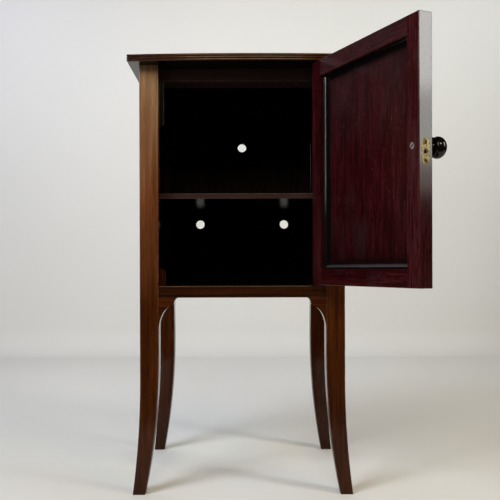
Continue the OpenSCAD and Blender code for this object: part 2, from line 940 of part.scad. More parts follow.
module catch_screw_places()
    for (s = [-1, 1])
        translate([door_l, catch_y, catch_z + s * plate_screw_gap])
            driven_right() children();

module at_catch() translate([door_l, catch_y, catch_z]) children();

module catch_plate()
    color(brass)
        difference() {
            at_catch() block([0, plate_t], [-plate_w / 2, plate_w / 2],
                             [-plate_h / 2, plate_h / 2]);
            at_catch() translate([-1, 0, 0]) along_x(barrel_d / 2 + run, plate_t + 2);
            catch_screw_places() small_hole();
        }

module catch_barrel()
    color(brass)
        at_catch()
            difference() {
                along_x(barrel_d / 2, barrel_l);
                translate([-1, 0, 0]) along_x(barrel_d / 2 - 0.5, 1 + recess);
                translate([ball_deep, 0, 0]) sphere(r = barrel_bore_r, $fn = 64);
                translate([ball_deep, 0, 0])
                    along_x(barrel_bore_r, barrel_l - barrel_end - ball_deep);
            }

module catch_ball()
    color(steel) at_catch() translate([ball_deep, 0, 0]) sphere(r = ball_r, $fn = 64);

// A sleeve in the space of the coil spring. It rides with the ball, so behind it is the
// room for the ball to go in.
spring_out = ball_r - 0.3;
spring_in = spring_out - 0.6;
spring_start = ball_deep + sqrt(ball_r * ball_r - spring_in * spring_in) + run;
spring_l = barrel_l - barrel_end - spring_start - ball_out - glue;

module catch_spring()
    color(steel)
        at_catch()
            translate([spring_start, 0, 0])
                difference() {
                    along_x(spring_out, spring_l);
                    translate([-1, 0, 0]) along_x(spring_in, barrel_l);
                }

module catch_screws() color(brass) catch_screw_places() small_screw();

// ---- The open door ----

module swung()
    translate([pin_x, pin_y, 0])
        rotate([0, 0, door_open])
            translate([-pin_x, -pin_y, 0])
                children();

top_board();
leg_front_left();
leg_front_right();
leg_rear_left();
leg_rear_right();
side_panel_left();
side_panel_right();
back_panel();
floor_board();
shelf();
shelf_bearer_left();
shelf_bearer_right();
floor_bearer_left();
floor_bearer_right();
top_rail_front();
top_rail_rear();
bottom_rail_front();
bottom_rail_rear();
bracket_left();
bracket_right();
door_stop_upper();
door_stop_lower();
strike_plate();
strike_screws();
top_screws();
bearer_screws();
hinge_upper_frame_leaf();
hinge_lower_frame_leaf();
hinge_upper_pin();
hinge_lower_pin();
hinge_frame_screws();
swung() stile_hinge();
swung() stile_free();
swung() door_rail_top();
swung() door_rail_bottom();
swung() door_panel();
swung() bead_top();
swung() bead_bottom();
swung() bead_hinge();
swung() bead_free();
swung() bead_pins();
swung() knob();
swung() knob_screw();
swung() catch_plate();
swung() catch_barrel();
swung() catch_spring();
swung() catch_screws();
swung() hinge_upper_door_leaf();
swung() hinge_lower_door_leaf();
swung() hinge_door_screws();
swung() catch_ball();
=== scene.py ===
"""A bedside pot cupboard in French-polished mahogany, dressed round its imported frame.

Run as a script: every operator makes one piece or one group of like pieces, in place.
Lengths are in metres, in the frame of the CAD model: +X right, +Y back, +Z up.
"""
import json
import math
from functools import partial

import bmesh
import bpy
from bpy.props import FloatProperty, FloatVectorProperty, PointerProperty
from mathutils import Matrix, Quaternion, Vector


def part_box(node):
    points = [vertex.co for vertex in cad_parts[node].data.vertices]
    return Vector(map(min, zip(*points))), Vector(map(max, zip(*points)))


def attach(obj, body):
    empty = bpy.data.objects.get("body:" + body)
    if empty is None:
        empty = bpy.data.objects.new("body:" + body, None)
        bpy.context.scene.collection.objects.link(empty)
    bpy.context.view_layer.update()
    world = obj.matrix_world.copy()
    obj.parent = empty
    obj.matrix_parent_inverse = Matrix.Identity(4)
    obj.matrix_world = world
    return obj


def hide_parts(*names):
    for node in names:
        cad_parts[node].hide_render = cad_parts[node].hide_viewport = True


bl_info = {
    "name": "Bedside pot cupboard",
    "version": (1, 0, 0),
    "blender": (4, 5, 0),
    "location": "View3D > Sidebar > Cupboard",
    "description": "Makes the pieces of a polished mahogany pot cupboard round its frame",
    "category": "Add Mesh",
}

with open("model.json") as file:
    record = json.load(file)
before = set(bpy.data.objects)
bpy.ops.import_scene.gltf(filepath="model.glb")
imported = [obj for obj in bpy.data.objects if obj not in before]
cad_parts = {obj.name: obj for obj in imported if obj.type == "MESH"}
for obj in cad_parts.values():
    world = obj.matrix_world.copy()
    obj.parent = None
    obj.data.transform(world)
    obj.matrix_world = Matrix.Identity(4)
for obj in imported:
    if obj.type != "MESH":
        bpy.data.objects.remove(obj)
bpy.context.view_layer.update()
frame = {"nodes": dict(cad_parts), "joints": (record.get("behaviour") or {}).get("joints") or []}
NODES = frame["nodes"]

# Planes and sizes that the pieces share, read from the frame or repeated from the CAD
LEG_LO, LEG_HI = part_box("leg_front_right")
TOP_LO, TOP_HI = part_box("top_board")
LEG_W, LEG_D = 0.034, 0.032
FOOT_W, FOOT_D = 0.022, 0.021
OUTER_SWEEP, INNER_SWEEP = 0.200, 0.250
BODY_X, BODY_Y = LEG_LO.x + LEG_W, -LEG_HI.y + LEG_D
# The compartments, stained near black as painted shade, end at the side panels, the front rails
# and the back panel
INSIDE_X, INSIDE_Y = BODY_X - 0.0132, BODY_Y - 0.0235
FLOOR_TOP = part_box("floor_board")[1].z
RAIL_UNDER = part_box("bottom_rail_front")[0].z

# The door is worked on shut, and then swung open to where it rests
DOOR_ANGLE = math.radians(114.75)
HINGE = frame["joints"][0]["pos_m"]
DOOR_SET_BACK, DOOR_T, FREE_GAP, HINGE_GAP = 0.0015, 0.0228, 0.0016, 0.0009
DOOR_FACE = -BODY_Y + DOOR_SET_BACK
DOOR_INNER = DOOR_FACE + DOOR_T
DOOR_LEFT, DOOR_RIGHT_EDGE = -LEG_LO.x + FREE_GAP, LEG_LO.x - HINGE_GAP
SWING = (Matrix.Translation((HINGE[0], HINGE[1], 0))
         @ Matrix.Rotation(DOOR_ANGLE, 4, "Z")
         @ Matrix.Translation((-HINGE[0], -HINGE[1], 0)))
STILL = Matrix.Identity(4)
CATCH_Y, CATCH_Z, CATCH_SCREW = -BODY_Y + 0.0129, 0.5675, 0.0134
KNOB_X, KNOB_Z, KNOB_R, KNOB_L = -0.1319, 0.577, 0.01625, 0.034
HINGE_ZS = (0.4285, 0.7105)
FRAME_L, FRAME_R, FRAME_B, FRAME_T = -0.1204, 0.1211, 0.4015, 0.7375
PANEL_REAR, BEAD_W, BEAD_H = -BODY_Y + 0.0103, 0.0085, 0.007


def linear(code):
    """An sRGB hex colour, such as "6b3a22", as linear RGBA."""
    def channel(i):
        c = int(code[i:i + 2], 16) / 255
        return c / 12.92 if c <= 0.04045 else ((c + 0.055) / 1.055) ** 2.4
    return (channel(0), channel(2), channel(4), 1.0)


def colour(name, code, description):
    return FloatVectorProperty(name=name, description=description, subtype="COLOR", size=4,
                               min=0.0, max=1.0, default=linear(code))


def length(name, metres, description):
    return FloatProperty(name=name, description=description, default=metres, min=0.0,
                         unit="LENGTH")


class CupboardSizes(bpy.types.PropertyGroup):
    """Sizes that shape the dressed pieces without changing the frame."""
    leg_arris: length("Leg arris", 0.0018, "Radius of the legs' rounded corners")
    board_arris: length("Board arris", 0.0008, "Radius of the boards' eased edges")
    plate_arris: length("Plate arris", 0.00018, "Radius of the brass plates' worn edges")
    reed_depth: length("Reed depth", 0.0016, "Depth of the reeds round the top")
    bow: length("Bow", 0.007, "Rise of the bowed front edge")
    spring_wire: length("Spring wire", 0.0006, "Thickness of the catch spring's wire")


class CupboardFinishes(bpy.types.PropertyGroup):
    """Colours of the woods and metals, as they look under plain white light."""
    polish_dark: colour("Mahogany dark", "260d04", "Darkest streaks of the polished mahogany")
    polish_mid: colour("Mahogany", "3a1a06", "Body colour of the polished mahogany")
    polish_light: colour("Mahogany light", "4a240b", "Palest streaks of the polished mahogany")
    # The faded and amber tones also paint the light on the upper legs and side panels
    fade_dark: colour("Faded dark", "6a4c34", "Darkest streaks where the polish has faded")
    fade_mid: colour("Faded", "7d5f43", "Body colour where the polish has faded")
    fade_light: colour("Faded light", "8c6f51", "Palest streaks where the polish has faded")
    amber_dark: colour("Amber dark", "502a14", "Darkest streaks of the half faded polish")
    amber_mid: colour("Amber", "63381f", "Body colour of the half faded polish")
    amber_light: colour("Amber light", "704428", "Palest streaks of the half faded polish")
    # The worn colour also paints highlights along the reeds' crests
    worn: colour("Worn arris", "7a5238", "Wood showing along a worn edge")
    rubbed: colour("Rubbed arris", "4a2a28", "Red stain rubbed thin along the door's edges")
    door_dark: colour("Door dark", "190404", "Darkest streaks inside the door")
    door_mid: colour("Door", "2a070a", "Body colour inside the door")
    door_light: colour("Door light", "401315", "Palest streaks inside the door")
    # This grey paints pale specks and bloomed polish, and also a painted sheen near the door's
    # top
    bloom_and_sheen: colour("Bloom", "6a5f5c", "Grey haze on the old polish inside the door")
    # The stain is near black: inside the cupboard it also paints the shade
    stain: colour("Stain", "0b0706", "Dark stained wood inside the cupboard")
    lipping: colour("Lipping", "33231f", "Front edge of the shelf")
    scuffed: colour("Scuffed arris", "5e4f4a", "Stain rubbed through along an edge")
    ebony: colour("Ebonised", "0d0909", "Ebonised beads and knob")
    dust: colour("Dust", "474141", "Dust on the lowest bead")
    brass: colour("Brass", "8d7c56", "Clean brass")
    tarnish: colour("Tarnish", "40341f", "Tarnished brass")
    soiled: colour("Soiled", "241d12", "Brass browned by dirt round the screw heads")
    steel: colour("Steel", "c8bab5", "Old steel screws")
    blacked: colour("Blacked", "2c2826", "Steel that the stain has covered")
    rust: colour("Rust", "7a6460", "Dull patches on the steel")
    paper: colour("Studio paper", "dbdad7", "Floor and backdrop")


# ---- Shared helpers ----

# Short kinds for the nodes that work out sums
SUMS = {"+": "Math ADD", "-": "Math SUBTRACT", "*": "Math MULTIPLY", "/": "Math DIVIDE",
        "min": "Math MINIMUM", "max": "Math MAXIMUM"}


def add(tree, kind, *values, named=None, stops=(), **settings):
    """Adds a node with its settings, and sets or links its inputs, in order or by name.

    The kind is a short one or a node's, and may end in its operation or data type, as in
    "Math SINE". A node given as a value stands for its first output in use. stops are the
    places and colours of a ramp.
    """
    name, _, choice = SUMS.get(kind, kind).partition(" ")
    prefix = next(p for p in ("ShaderNode", "GeometryNode", "") if hasattr(bpy.types, p + name))
    made = tree.nodes.new(prefix + name)
    if choice:
        setattr(made, "operation" if hasattr(made, "operation") else "data_type", choice)
    for key, value in settings.items():
        setattr(made, key, value)
    in_use = [socket for socket in made.inputs if socket.enabled]
    by_name = [(made.inputs[key], value) for key, value in (named or {}).items()]
    for socket, value in [*zip(in_use, values), *by_name]:
        if isinstance(value, bpy.types.Node):
            value = next(output for output in value.outputs if output.enabled)
        if isinstance(value, bpy.types.NodeSocket):
            tree.links.new(value, socket)
        else:
            socket.default_value = value
    if stops:
        elements = made.color_ramp.elements
        while len(elements) < len(stops):
            elements.new(0.5)
        for element, (position, tone) in zip(elements, stops):
            element.position, element.color = position, tone
    return made


def new_material(name):
    """An empty material, and the function that adds nodes to it."""
    material = bpy.data.materials.new(name)
    material.use_nodes = True
    material.node_tree.nodes.clear()
    return material, partial(add, material.node_tree)


def grey(value):
    return (value, value, value, 1.0)


def stand(name, data):
    """A new object in the scene."""
    made = bpy.data.objects.new(name, data)
    bpy.context.scene.collection.objects.link(made)
    return made


def mesh_of(shape, name):
    """A mesh made from a bmesh, which is freed."""
    mesh = bpy.data.meshes.new(name)
    shape.to_mesh(mesh)
    shape.free()
    return mesh


def smooth_to(mesh, degrees):
    """Shades a mesh smooth up to the angle at which its edges count as sharp."""
    mesh.polygons.foreach_set("use_smooth", [True] * len(mesh.polygons))
    mesh.set_sharp_from_angle(angle=math.radians(degrees))


def wood(name, tones, roughness, coat, coat_roughness, faded=None, worn=None, stain=None,
         bloom_and_sheen=None, amber=None, fine=False, scuffed=False):
    """Polished wood whose grain follows the attribute "grain", laid along each board.

    The marks "sun", "wear", "inside", "grime", "haze" and "dull" on the mesh say where it is
    paler (faded, a paler edge, dust, and on the legs, side panels and free stile painted light),
    worn (on the reeds also a painted highlight), stained (which also paints the shade inside),
    darkened (dirt, and painted shade), misted (bloomed polish, and a painted sheen) and, if
    scuffed is set, short of polish. fine shortens the figure to flecks, as on a slash-sawn face.
    """
    material, put = new_material(name)
    place = put("Attribute", attribute_name="grain").outputs["Vector"]

    def share(mark_name, strength):
        mark_of = put("Attribute", attribute_name=mark_name).outputs["Fac"]
        return put("*", mark_of, strength)

    def noise(mm_along, mm_across, detail=3.0, rough=0.55, distortion=0.0):
        """Noise whose patches are so many millimetres long and wide in the board."""
        per_m = (1000 / mm_along, 1000 / mm_across, 1000 / mm_across)
        return put("TexNoise", put("VectorMath MULTIPLY", place, per_m), 1.0, detail, rough,
                   named={"Distortion": distortion})

    # Ribbon figure 4 mm wide, growth lines 1.3 mm wide and broad patches of tone
    ribbon = noise(60 if fine else 170, 3.4 if fine else 4.2, 2.0, 0.5, 0.5)
    lines = noise(11 if fine else 26, 1.3, 3.0, 0.65)
    cloud = noise(230, 55, 2.0)
    # Pores are 0.2 mm wide in mahogany, drawn 0.6 mm wide to show
    pores = noise(8, 0.6, 1.0, 0.5)
    tone = put("+", put("*", ribbon, 0.42), put("+", put("*", lines, 0.33),
                                                put("*", cloud, 0.25)))
    open_pores = put("ValToRGB", pores, stops=[(0.30, grey(1.0)), (0.42, grey(0.0))])
    pore_share = put("*", open_pores, 0.5)

    def figured(three):
        body = put("ValToRGB", tone, stops=list(zip((0.38, 0.5, 0.63), three)))
        return put("Mix RGBA", pore_share, body, three[0])

    shaded = figured(tones)
    # Where the "sun" mark says, the wood turns paler: fading and painted light on the legs and
    # side panels, painted light on the door's free stile, a paler edge on the shelf and top rail,
    # dust on the lowest bead
    if faded:
        sun = share("sun", put("+", 0.72, put("*", cloud, 0.56)))
        if amber:
            # Half faded, the wood is amber, and it pales only from there on; on the legs and side
            # panels this paleness is partly painted light
            twice = put("*", sun, 2.0)
            shaded = put("Mix RGBA", put("min", twice, 1.0), shaded, figured(amber))
            sun = put("max", put("-", twice, 1.0), 0.0)
        shaded = put("Mix RGBA", sun, shaded, figured(faded))
    # Rounded edges take the worn colour: worn wood, and along the reeds' crests a painted
    # highlight
    if worn:
        rubbed = put("ValToRGB", noise(14, 5, 3.0, 0.7),
                     stops=[(0.42, grey(0.1)), (0.62, grey(1.0))])
        shaded = put("Mix RGBA", share("wear", put("*", rubbed, 0.55)), shaded, worn)
    if bloom_and_sheen:
        # Broad grey patches, partly bloomed polish and partly a painted reflection, and pale
        # specks; a painted sheen is added near the door's top
        bloom_sheen_patches = put("ValToRGB", noise(90, 45), stops=[(0.5, grey(0.0)), (0.75, grey(0.055))])
        flecks = put("ValToRGB", noise(6, 2.2, 2.0, 0.6),
                     stops=[(0.66, grey(0.0)), (0.74, grey(0.24))])
        greyed = put("+", put("max", bloom_sheen_patches, flecks), share("haze", 0.05))
        shaded = put("Mix RGBA", greyed, shaded, bloom_and_sheen)
        # Where marked, the wood is darkened: partly dirt, and partly painted shade beside the
        # beads and low on the panel
        darkening = put("+", 0.45, put("*", cloud, 0.6))
        shaded = put("Mix RGBA", share("grime", darkening), shaded, grey(0.0015))
    # The "inside" mark mixes in the near black stain: stain and painted shade inside the
    # compartments and under the top, dirt and painted shade low on the legs, and half of it on
    # the front bottom rail
    if stain:
        shaded = put("Mix RGBA", share("inside", 1.0), shaded, stain)
    spread = put("ValToRGB", noise(50, 30),
                 stops=[(0.3, grey(roughness)), (0.7, grey(roughness + 0.14))])
    # Feet and use have worn the polish thin
    polish = put("-", coat, share("dull", coat)) if scuffed else coat
    relief = put("-", put("*", lines, 0.6), open_pores)
    # The polish lies over the grain, so only the open pores and a slow ripple reach its face
    ripple = put("-", put("*", cloud, 6.0), open_pores)
    put("OutputMaterial", put("BsdfPrincipled", named={
        "Base Color": shaded, "Roughness": spread, "Specular IOR Level": 0.0,
        "Coat Weight": polish, "Coat IOR": 1.385, "Coat Roughness": coat_roughness,
        "Normal": put("Bump", 0.3, 0.00008, named={"Height": relief}),
        "Coat Normal": put("Bump", 0.12, 0.00005, named={"Height": ripple})}))
    return material


def metal(name, clean, dull, roughness, spot_mm):
    """Metal with patches and fine specks of tarnish, on Object coordinates."""
    material, put = new_material(name)
    place = put("TexCoord").outputs["Object"]
    patches, fine = (put("TexNoise", place, 1000 / mm, detail, 0.6)
                     for mm, detail in ((spot_mm, 4.0), (spot_mm / 6, 3.0)))
    blend = put("ValToRGB", patches, stops=[(0.42, grey(0.0)), (0.66, grey(1.0))])
    specks = put("ValToRGB", fine, stops=[(0.34, grey(1.0)), (0.44, grey(0.0))])
    dulled = put("max", blend, put("*", specks, 0.7))
    # The floors of the screw slots are painted near black
    dirt = put("Attribute", attribute_name="grime").outputs["Fac"]
    bare = put("Mix RGBA", dulled, clean, dull)
    put("OutputMaterial", put("BsdfPrincipled", named={
        "Base Color": put("Mix RGBA", dirt, bare, grey(0.003)), "Metallic": 1.0,
        "Roughness": put("+", roughness, put("*", dulled, 0.22)),
        "Normal": put("Bump", 0.25, 0.00005, named={"Height": fine})}))
    return material


FINISHES = {
    # Shellac rubbed to a gloss over open-pored wood, paler near the top, partly bleached by the
    # sun and partly painted light; stained near black inside, which paints the shade there
    "mahogany": lambda c: wood(
        "Mahogany, French polished", (c.polish_dark, c.polish_mid, c.polish_light),
        roughness=0.32, coat=1.0, coat_roughness=0.10,
        faded=(c.fade_dark, c.fade_mid, c.fade_light), worn=c.worn, stain=c.stain,
        amber=(c.amber_dark, c.amber_mid, c.amber_light), scuffed=True),
    # Red stain under polish that has kept its colour and hazed a little; the grey mist is partly
    # bloomed polish and partly a painted reflection, the free stile's inner face is painted
    # lighter as painted light, and the dark beside the beads is partly dirt and partly painted
    # shade
    "red_mahogany": lambda c: wood(
        "Mahogany, red stained and polished", (c.door_dark, c.door_mid, c.door_light),
        roughness=0.38, coat=1.0, coat_roughness=0.12,
        faded=(c.door_mid, c.door_light, c.rubbed), worn=c.rubbed, bloom_and_sheen=c.bloom_and_sheen, fine=True),
    # Thin stain with little polish, so it swallows light and shines only at a slant; near black,
    # it also paints the shade inside the cupboard
    "stained_wood": lambda c: wood(
        "Softwood, black-brown stain", ((*[0.4 * v for v in c.stain[:3]], 1.0), c.stain, c.stain),
        roughness=0.35, coat=0.4, coat_roughness=0.2, faded=(c.lipping,) * 3, worn=c.scuffed),
    # The same stain, thinner, on wood that nobody sees, left without polish; its dark colour also
    # paints the shade inside
    "plain_stain": lambda c: wood(
        "Softwood, stained, unpolished",
        (c.stain, *[[0.7 * a + 0.3 * b for a, b in zip(c.stain, c.lipping)]] * 2),
        roughness=0.6, coat=0.05, coat_roughness=0.4, faded=(c.lipping,) * 3, worn=c.scuffed),
    # Black stained beech under gloss polish, which gives narrow bright lights
    "ebonised_wood": lambda c: wood(
        "Beech, ebonised and polished", (c.ebony,) * 3, roughness=0.3, coat=1.0,
        coat_roughness=0.09, faded=(c.dust,) * 3),
    # Rolled brass gone brown in patches
    "brass": lambda c: metal("Brass, worn and tarnished", c.brass, c.tarnish, roughness=0.42,
                             spot_mm=3.0),
    # Screw heads gone brown, darker than the plate they hold
    "brown_brass": lambda c: metal("Brass, browned", c.tarnish, c.soiled, roughness=0.4,
                                   spot_mm=1.5),
    # Turned steel, dull with age
    "steel": lambda c: metal("Steel, old and dull", c.steel, c.rust, roughness=0.55,
                             spot_mm=2.0),
    # Steel blacked by handling or stained over with the wood round it
    "black_steel": lambda c: metal("Steel, blacked", c.blacked, c.soiled, roughness=0.3,
                                   spot_mm=1.5),
}
# Each finish's material, once it has been made
MATERIALS = {}


def finish_of(key):
    """Each material is made once, when the first piece asks for it."""
    if key not in MATERIALS:
        MATERIALS[key] = FINISHES[key](bpy.context.scene.cupboard_finishes)
    return MATERIALS[key]


def lay_grain(mesh, along, across):
    """Stores each point's place in its board: along the grain, across it, and through."""
    along, across = Vector(along).normalized(), Vector(across).normalized()
    through = along.cross(across)
    shift = 0.37 * (sum(ord(ch) * (i + 3) for i, ch in enumerate(mesh.name)) % 29)
    layer = mesh.attributes.new("grain", "FLOAT_VECTOR", "POINT")
    values = []
    for v in mesh.vertices:
        values += (v.co.dot(along) + shift, v.co.dot(across) + 0.7 * shift,
                   v.co.dot(through) + 0.3 * shift)
    layer.data.foreach_set("vector", values)


def mark(mesh, name, rule):
    """Stores a number from 0 to 1 at each point, worked out from its place by a rule."""
    layer = mesh.attributes.new(name, "FLOAT", "POINT")
    layer.data.foreach_set("value", [min(1.0, max(0.0, rule(v.co))) for v in mesh.vertices])


def stain_and_shade_inside(co):
    """1 for a point in the compartments, whose near black stain also paints their shade, 0
    outside them.
    """
    return float(abs(co.x) < INSIDE_X and abs(co.y) < INSIDE_Y and co.z > FLOOR_TOP - 0.001)


UP, RIGHT, BACK = Vector((0, 0, 1)), Vector((1, 0, 0)), Vector((0, 1, 0))
DOOR_RIGHT = SWING.to_3x3() @ RIGHT
DOOR_BACK = SWING.to_3x3() @ BACK


# The cosine of 10 degrees: a face that leans less than that is square to an axis
SQUARE = 0.985


def off_square(home):
    """A rule that is 1 for a face that is square to none of the board's axes."""
    turn = home.to_3x3().transposed()
    return lambda n: float(max(abs(v) for v in turn @ n) < SQUARE)


def settle(node, shape, finish, body, grain=None, smooth=30.0, marks=None, rounded=None,
           flats=False):
    """Makes a finished mesh the piece that stands for a CAD node, on its body.

    The rule rounded gives each face's share of the "wear" mark from its normal: worn edges, and
    on the reeds a painted highlight. It is above 0 on rounded edges alone, and they are shaded
    apart from the faces beside them, which are true planes if flats is set.
    """
    name = node + "_piece"
    mesh = mesh_of(shape, name) if isinstance(shape, bmesh.types.BMesh) else shape
    mesh.name = name
    mesh.materials.clear()
    mesh.materials.append(finish_of(finish))
    smooth_to(mesh, smooth)
    if rounded:
        shares = [rounded(face.normal) for face in mesh.polygons]
        beside = {}
        for face in mesh.polygons:
            for key in face.edge_keys:
                beside.setdefault(key, set()).add(shares[face.index] > 0)
        for edge in mesh.edges:
            if len(beside.get(edge.key, ())) > 1:
                edge.use_edge_sharp = True
        if flats:
            mesh.polygons.foreach_set("use_smooth", [share > 0 for share in shares])
        layer = mesh.attributes.new("wear", "FLOAT", "FACE")
        layer.data.foreach_set("value", shares)
    if grain:
        lay_grain(mesh, *grain)
    for key, rule in (marks or {}).items():
        mark(mesh, key, rule)
    piece = stand(name, mesh)
    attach(piece, body)
    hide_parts(node)


def box_of(points):
    return [[pick(p[i] for p in points) for i in range(3)] for pick in (min, max)]


def eased(node, radius, home=STILL, box=None, along=None):
    """A merged copy of a CAD board, with the edges on two planes of the box rounded.

    home takes the board from its own axes to its place. Without a box, it is the board's.
    """
    shortest = 0.004
    shape = bmesh.new()
    shape.from_mesh(NODES[node].data)
    bmesh.ops.remove_doubles(shape, verts=shape.verts, dist=2e-6)
    bmesh.ops.dissolve_limit(shape, angle_limit=math.radians(0.5), verts=shape.verts,
                             edges=shape.edges)
    back_home = home.inverted()
    spots = {v: back_home @ v.co for v in shape.verts}
    planes = [(i, end[i]) for end in (box or box_of(spots.values())) for i in range(3)]

    def outer(edge):
        a, b = (spots[v] for v in edge.verts)
        if along and (b - a).normalized().cross(along).length > 0.01:
            return False
        return sum(abs(a[i] - at) < 2e-5 and abs(b[i] - at) < 2e-5 for i, at in planes) > 1

    edges = [e for e in shape.edges
             if len(e.link_faces) == 2 and e.calc_length() > shortest and outer(e)]
    if radius and edges:
        bmesh.ops.bevel(shape, geom=edges, offset=radius, segments=3, profile=0.5,
                        affect="EDGES", clamp_overlap=False)
    return shape


def dress(node, finish, body, grain, radius=None, home=STILL, box=None, along=None, marks=None,
          smooth=30.0):
    """Replaces a CAD board by its eased copy under the same name with _piece added."""
    if radius is None:
        radius = bpy.context.scene.cupboard_sizes.board_arris
    # Points in the compartments take the near black stain, which also paints their shade
    settle(node, eased(node, radius, home, box, along), finish, body, grain, smooth,
           {"inside": stain_and_shade_inside, **(marks or {})}, off_square(home) if radius else None,
           bool(radius))


def arc(start, end, steps):
    """The cosine and sine of each angle on the way from start to end, in degrees."""
    angles = [math.radians(start + (end - start) * i / steps) for i in range(steps + 1)]
    return [(math.cos(a), math.sin(a)) for a in angles]


def lofted(rings):
    """A skin over closed rings of points, any of which may be a single point instead.

    The first and the last ring are filled.
    """
    shape = bmesh.new()
    rows = [[shape.verts.new(p) for p in ring] for ring in rings]
    steps = max(len(row) for row in rows)
    for low, high in zip(rows, rows[1:]):
        for i in range(steps):
            j = (i + 1) % steps
            corners = (low[i % len(low)], low[j % len(low)],
                       high[j % len(high)], high[i % len(high)])
            shape.faces.new(list(dict.fromkeys(corners)))
    for end in (rows[0][::-1], rows[-1]):
        if len(end) > 1:
            shape.faces.new(end)
    bmesh.ops.recalc_face_normals(shape, faces=shape.faces)
    return shape


def turned(profile, home, steps):
    """A solid of revolution from (radius, distance) points; home places its +Z axis."""
    circle = arc(0, 360, steps)[:-1]
    return lofted([[home @ Vector((radius * x, radius * y, distance))
                    for x, y in (circle if radius > 1e-6 else circle[:1])]
                   for radius, distance in profile])


def made_plain(carrier, *tools):
    """The plain mesh of an object with its modifiers; it and its tools are removed."""
    depsgraph = bpy.context.evaluated_depsgraph_get()
    mesh = bpy.data.meshes.new_from_object(carrier.evaluated_get(depsgraph))
    carrier.modifiers.clear()
    for thing in (*tools, carrier):
        bpy.data.objects.remove(thing)
    return mesh


def evaluated(source, tree, values):
    """Runs a Geometry Nodes tree on a source mesh and returns the result as a plain mesh."""
    carrier = stand("carrier", source)
    modifier = carrier.modifiers.new("tree", "NODES")
    modifier.node_group = tree
    for item in tree.interface.items_tree:
        if item.item_type == "SOCKET" and item.in_out == "INPUT" and item.name in values:
            modifier[item.identifier] = values[item.name]
    return made_plain(carrier)


def new_tree(name, **sizes):
    """An empty Geometry Nodes tree with named inputs: the function that adds nodes to it,
    and its inputs' sockets."""
    tree = bpy.data.node_groups.new(name, "GeometryNodeTree")
    tree.interface.new_socket("Geometry", in_out="INPUT", socket_type="NodeSocketGeometry")
    for label, value in sizes.items():
        item = tree.interface.new_socket(label.replace("_", " "), in_out="INPUT",
                                         socket_type="NodeSocketFloat")
        item.default_value = value
    tree.interface.new_socket("Material", in_out="INPUT", socket_type="NodeSocketMaterial")
    tree.interface.new_socket("Geometry", in_out="OUTPUT", socket_type="NodeSocketGeometry")
    put = partial(add, tree)
    return put, put("NodeGroupInput").outputs


def ended(put, given, shape):
    """Ends a tree with a real mesh in its material, and returns the tree."""
    real = put("RealizeInstances", shape)
    dressed = put("SetMaterial", real, named={"Material": given["Material"]})
    return put("NodeGroupOutput", dressed).id_data


def wood_boolean(shape, cutters):
    """Cuts boxes, given by low and high corners, out of a mesh."""
    base = stand("base", shape)
    used = []
    for low, high in cutters:
        box = bmesh.new()
        bmesh.ops.create_cube(box, size=1.0)
        for v in box.verts:
            v.co = Vector([(l + h) / 2 + c * (h - l) for l, h, c in zip(low, high, v.co)])
        used.append(stand("cutter", mesh_of(box, "cutter")))
        modifier = base.modifiers.new("cut", "BOOLEAN")
        modifier.operation, modifier.solver, modifier.object = "DIFFERENCE", "EXACT", used[-1]
    return made_plain(base, *used)


def driven(put, given, stock):
    """Ends a tree with a screw or pin at each point, turned as its attribute "turn" says."""
    turn = put("InputNamedAttribute FLOAT_VECTOR", "turn")
    return ended(put, given, put("InstanceOnPoints", given["Geometry"],
                                 named={"Instance": stock, "Rotation": turn}))


def rod(put, given, sides, rings, radius_at):
    """A cylinder with its top at z = 0, whose radius at each depth comes from a rule."""
    stock = put("MeshCylinder", sides, rings, named={"Radius": 1.0, "Depth": 1.0})
    x, y, z = put("SeparateXYZ", put("InputPosition")).outputs
    depth = put("*", put("-", 0.5, z), given["Length"])
    radius = radius_at(depth, put("Math ARCTAN2", y, x))
    moved = put("CombineXYZ", put("*", x, radius), put("*", y, radius), put("*", depth, -1.0))
    return put("SetPosition", stock, named={"Position": moved})


def wood_screw_tree():
    """A slotted countersunk screw with a cut thread and a point, at each point given."""
    put, g = new_tree("Wood screw", Head=0.0056, Shank=0.0028, Length=0.013, Rim=0.00015,
                      Slot_width=0.00078, Slot_depth=0.0006)

    def radius_at(depth, angle):
        core = put("/", g["Shank"], 2.0)
        under_rim = put("max", put("-", depth, g["Rim"]), 0.0)
        cone = put("-", put("/", g["Head"], 2.0), under_rim)
        # One turn of thread for 0.55 of the shank, from a third of the way down
        turns = put("/", depth, put("*", g["Shank"], 0.55))
        wave = put("Math SINE", put("+", put("*", turns, math.tau), angle))
        threaded = put("Math GREATER_THAN", depth, put("/", g["Length"], 3.0))
        cut = put("*", threaded, put("*", put("+", wave, 1.0), 0.09))
        left = put("/", put("-", g["Length"], depth), g["Shank"])
        taper = put("min", put("max", left, 0.08), 1.0)
        body = put("*", put("*", core, put("-", 1.0, cut)), taper)
        return put("max", cone, body)

    blade = put("MeshCube", put("CombineXYZ", put("*", g["Head"], 1.5), g["Slot width"],
                                put("*", g["Slot depth"], 2.0)))
    return driven(put, g, put("MeshBoolean DIFFERENCE", rod(put, g, 24, 56, radius_at), blade))


def panel_pin_tree():
    """A fine pin with a rounded top, at each point given."""
    put, g = new_tree("Panel pin", Shank=0.0014, Length=0.0135)

    def radius_at(depth, angle):
        rise = put("min", put("/", depth, 0.0004), 1.0)
        crown = put("Math SQRT", put("+", put("*", rise, 0.6), 0.4))
        return put("*", put("/", g["Shank"], 2.0), crown)

    return driven(put, g, rod(put, g, 16, 34, radius_at))


def coil_spring_tree():
    """A coil of round wire along +Z."""
    put, g = new_tree("Coil spring", Radius=0.0029, Wire=0.0006, Length=0.0124, Turns=9.0)
    path = put("CurveSpiral", 24, g["Turns"], g["Radius"], g["Radius"], g["Length"])
    wire = put("CurvePrimitiveCircle", 8, put("/", g["Wire"], 2.0), mode="RADIUS")
    return ended(put, g, put("CurveToMesh", path, wire, named={"Fill Caps": True}))


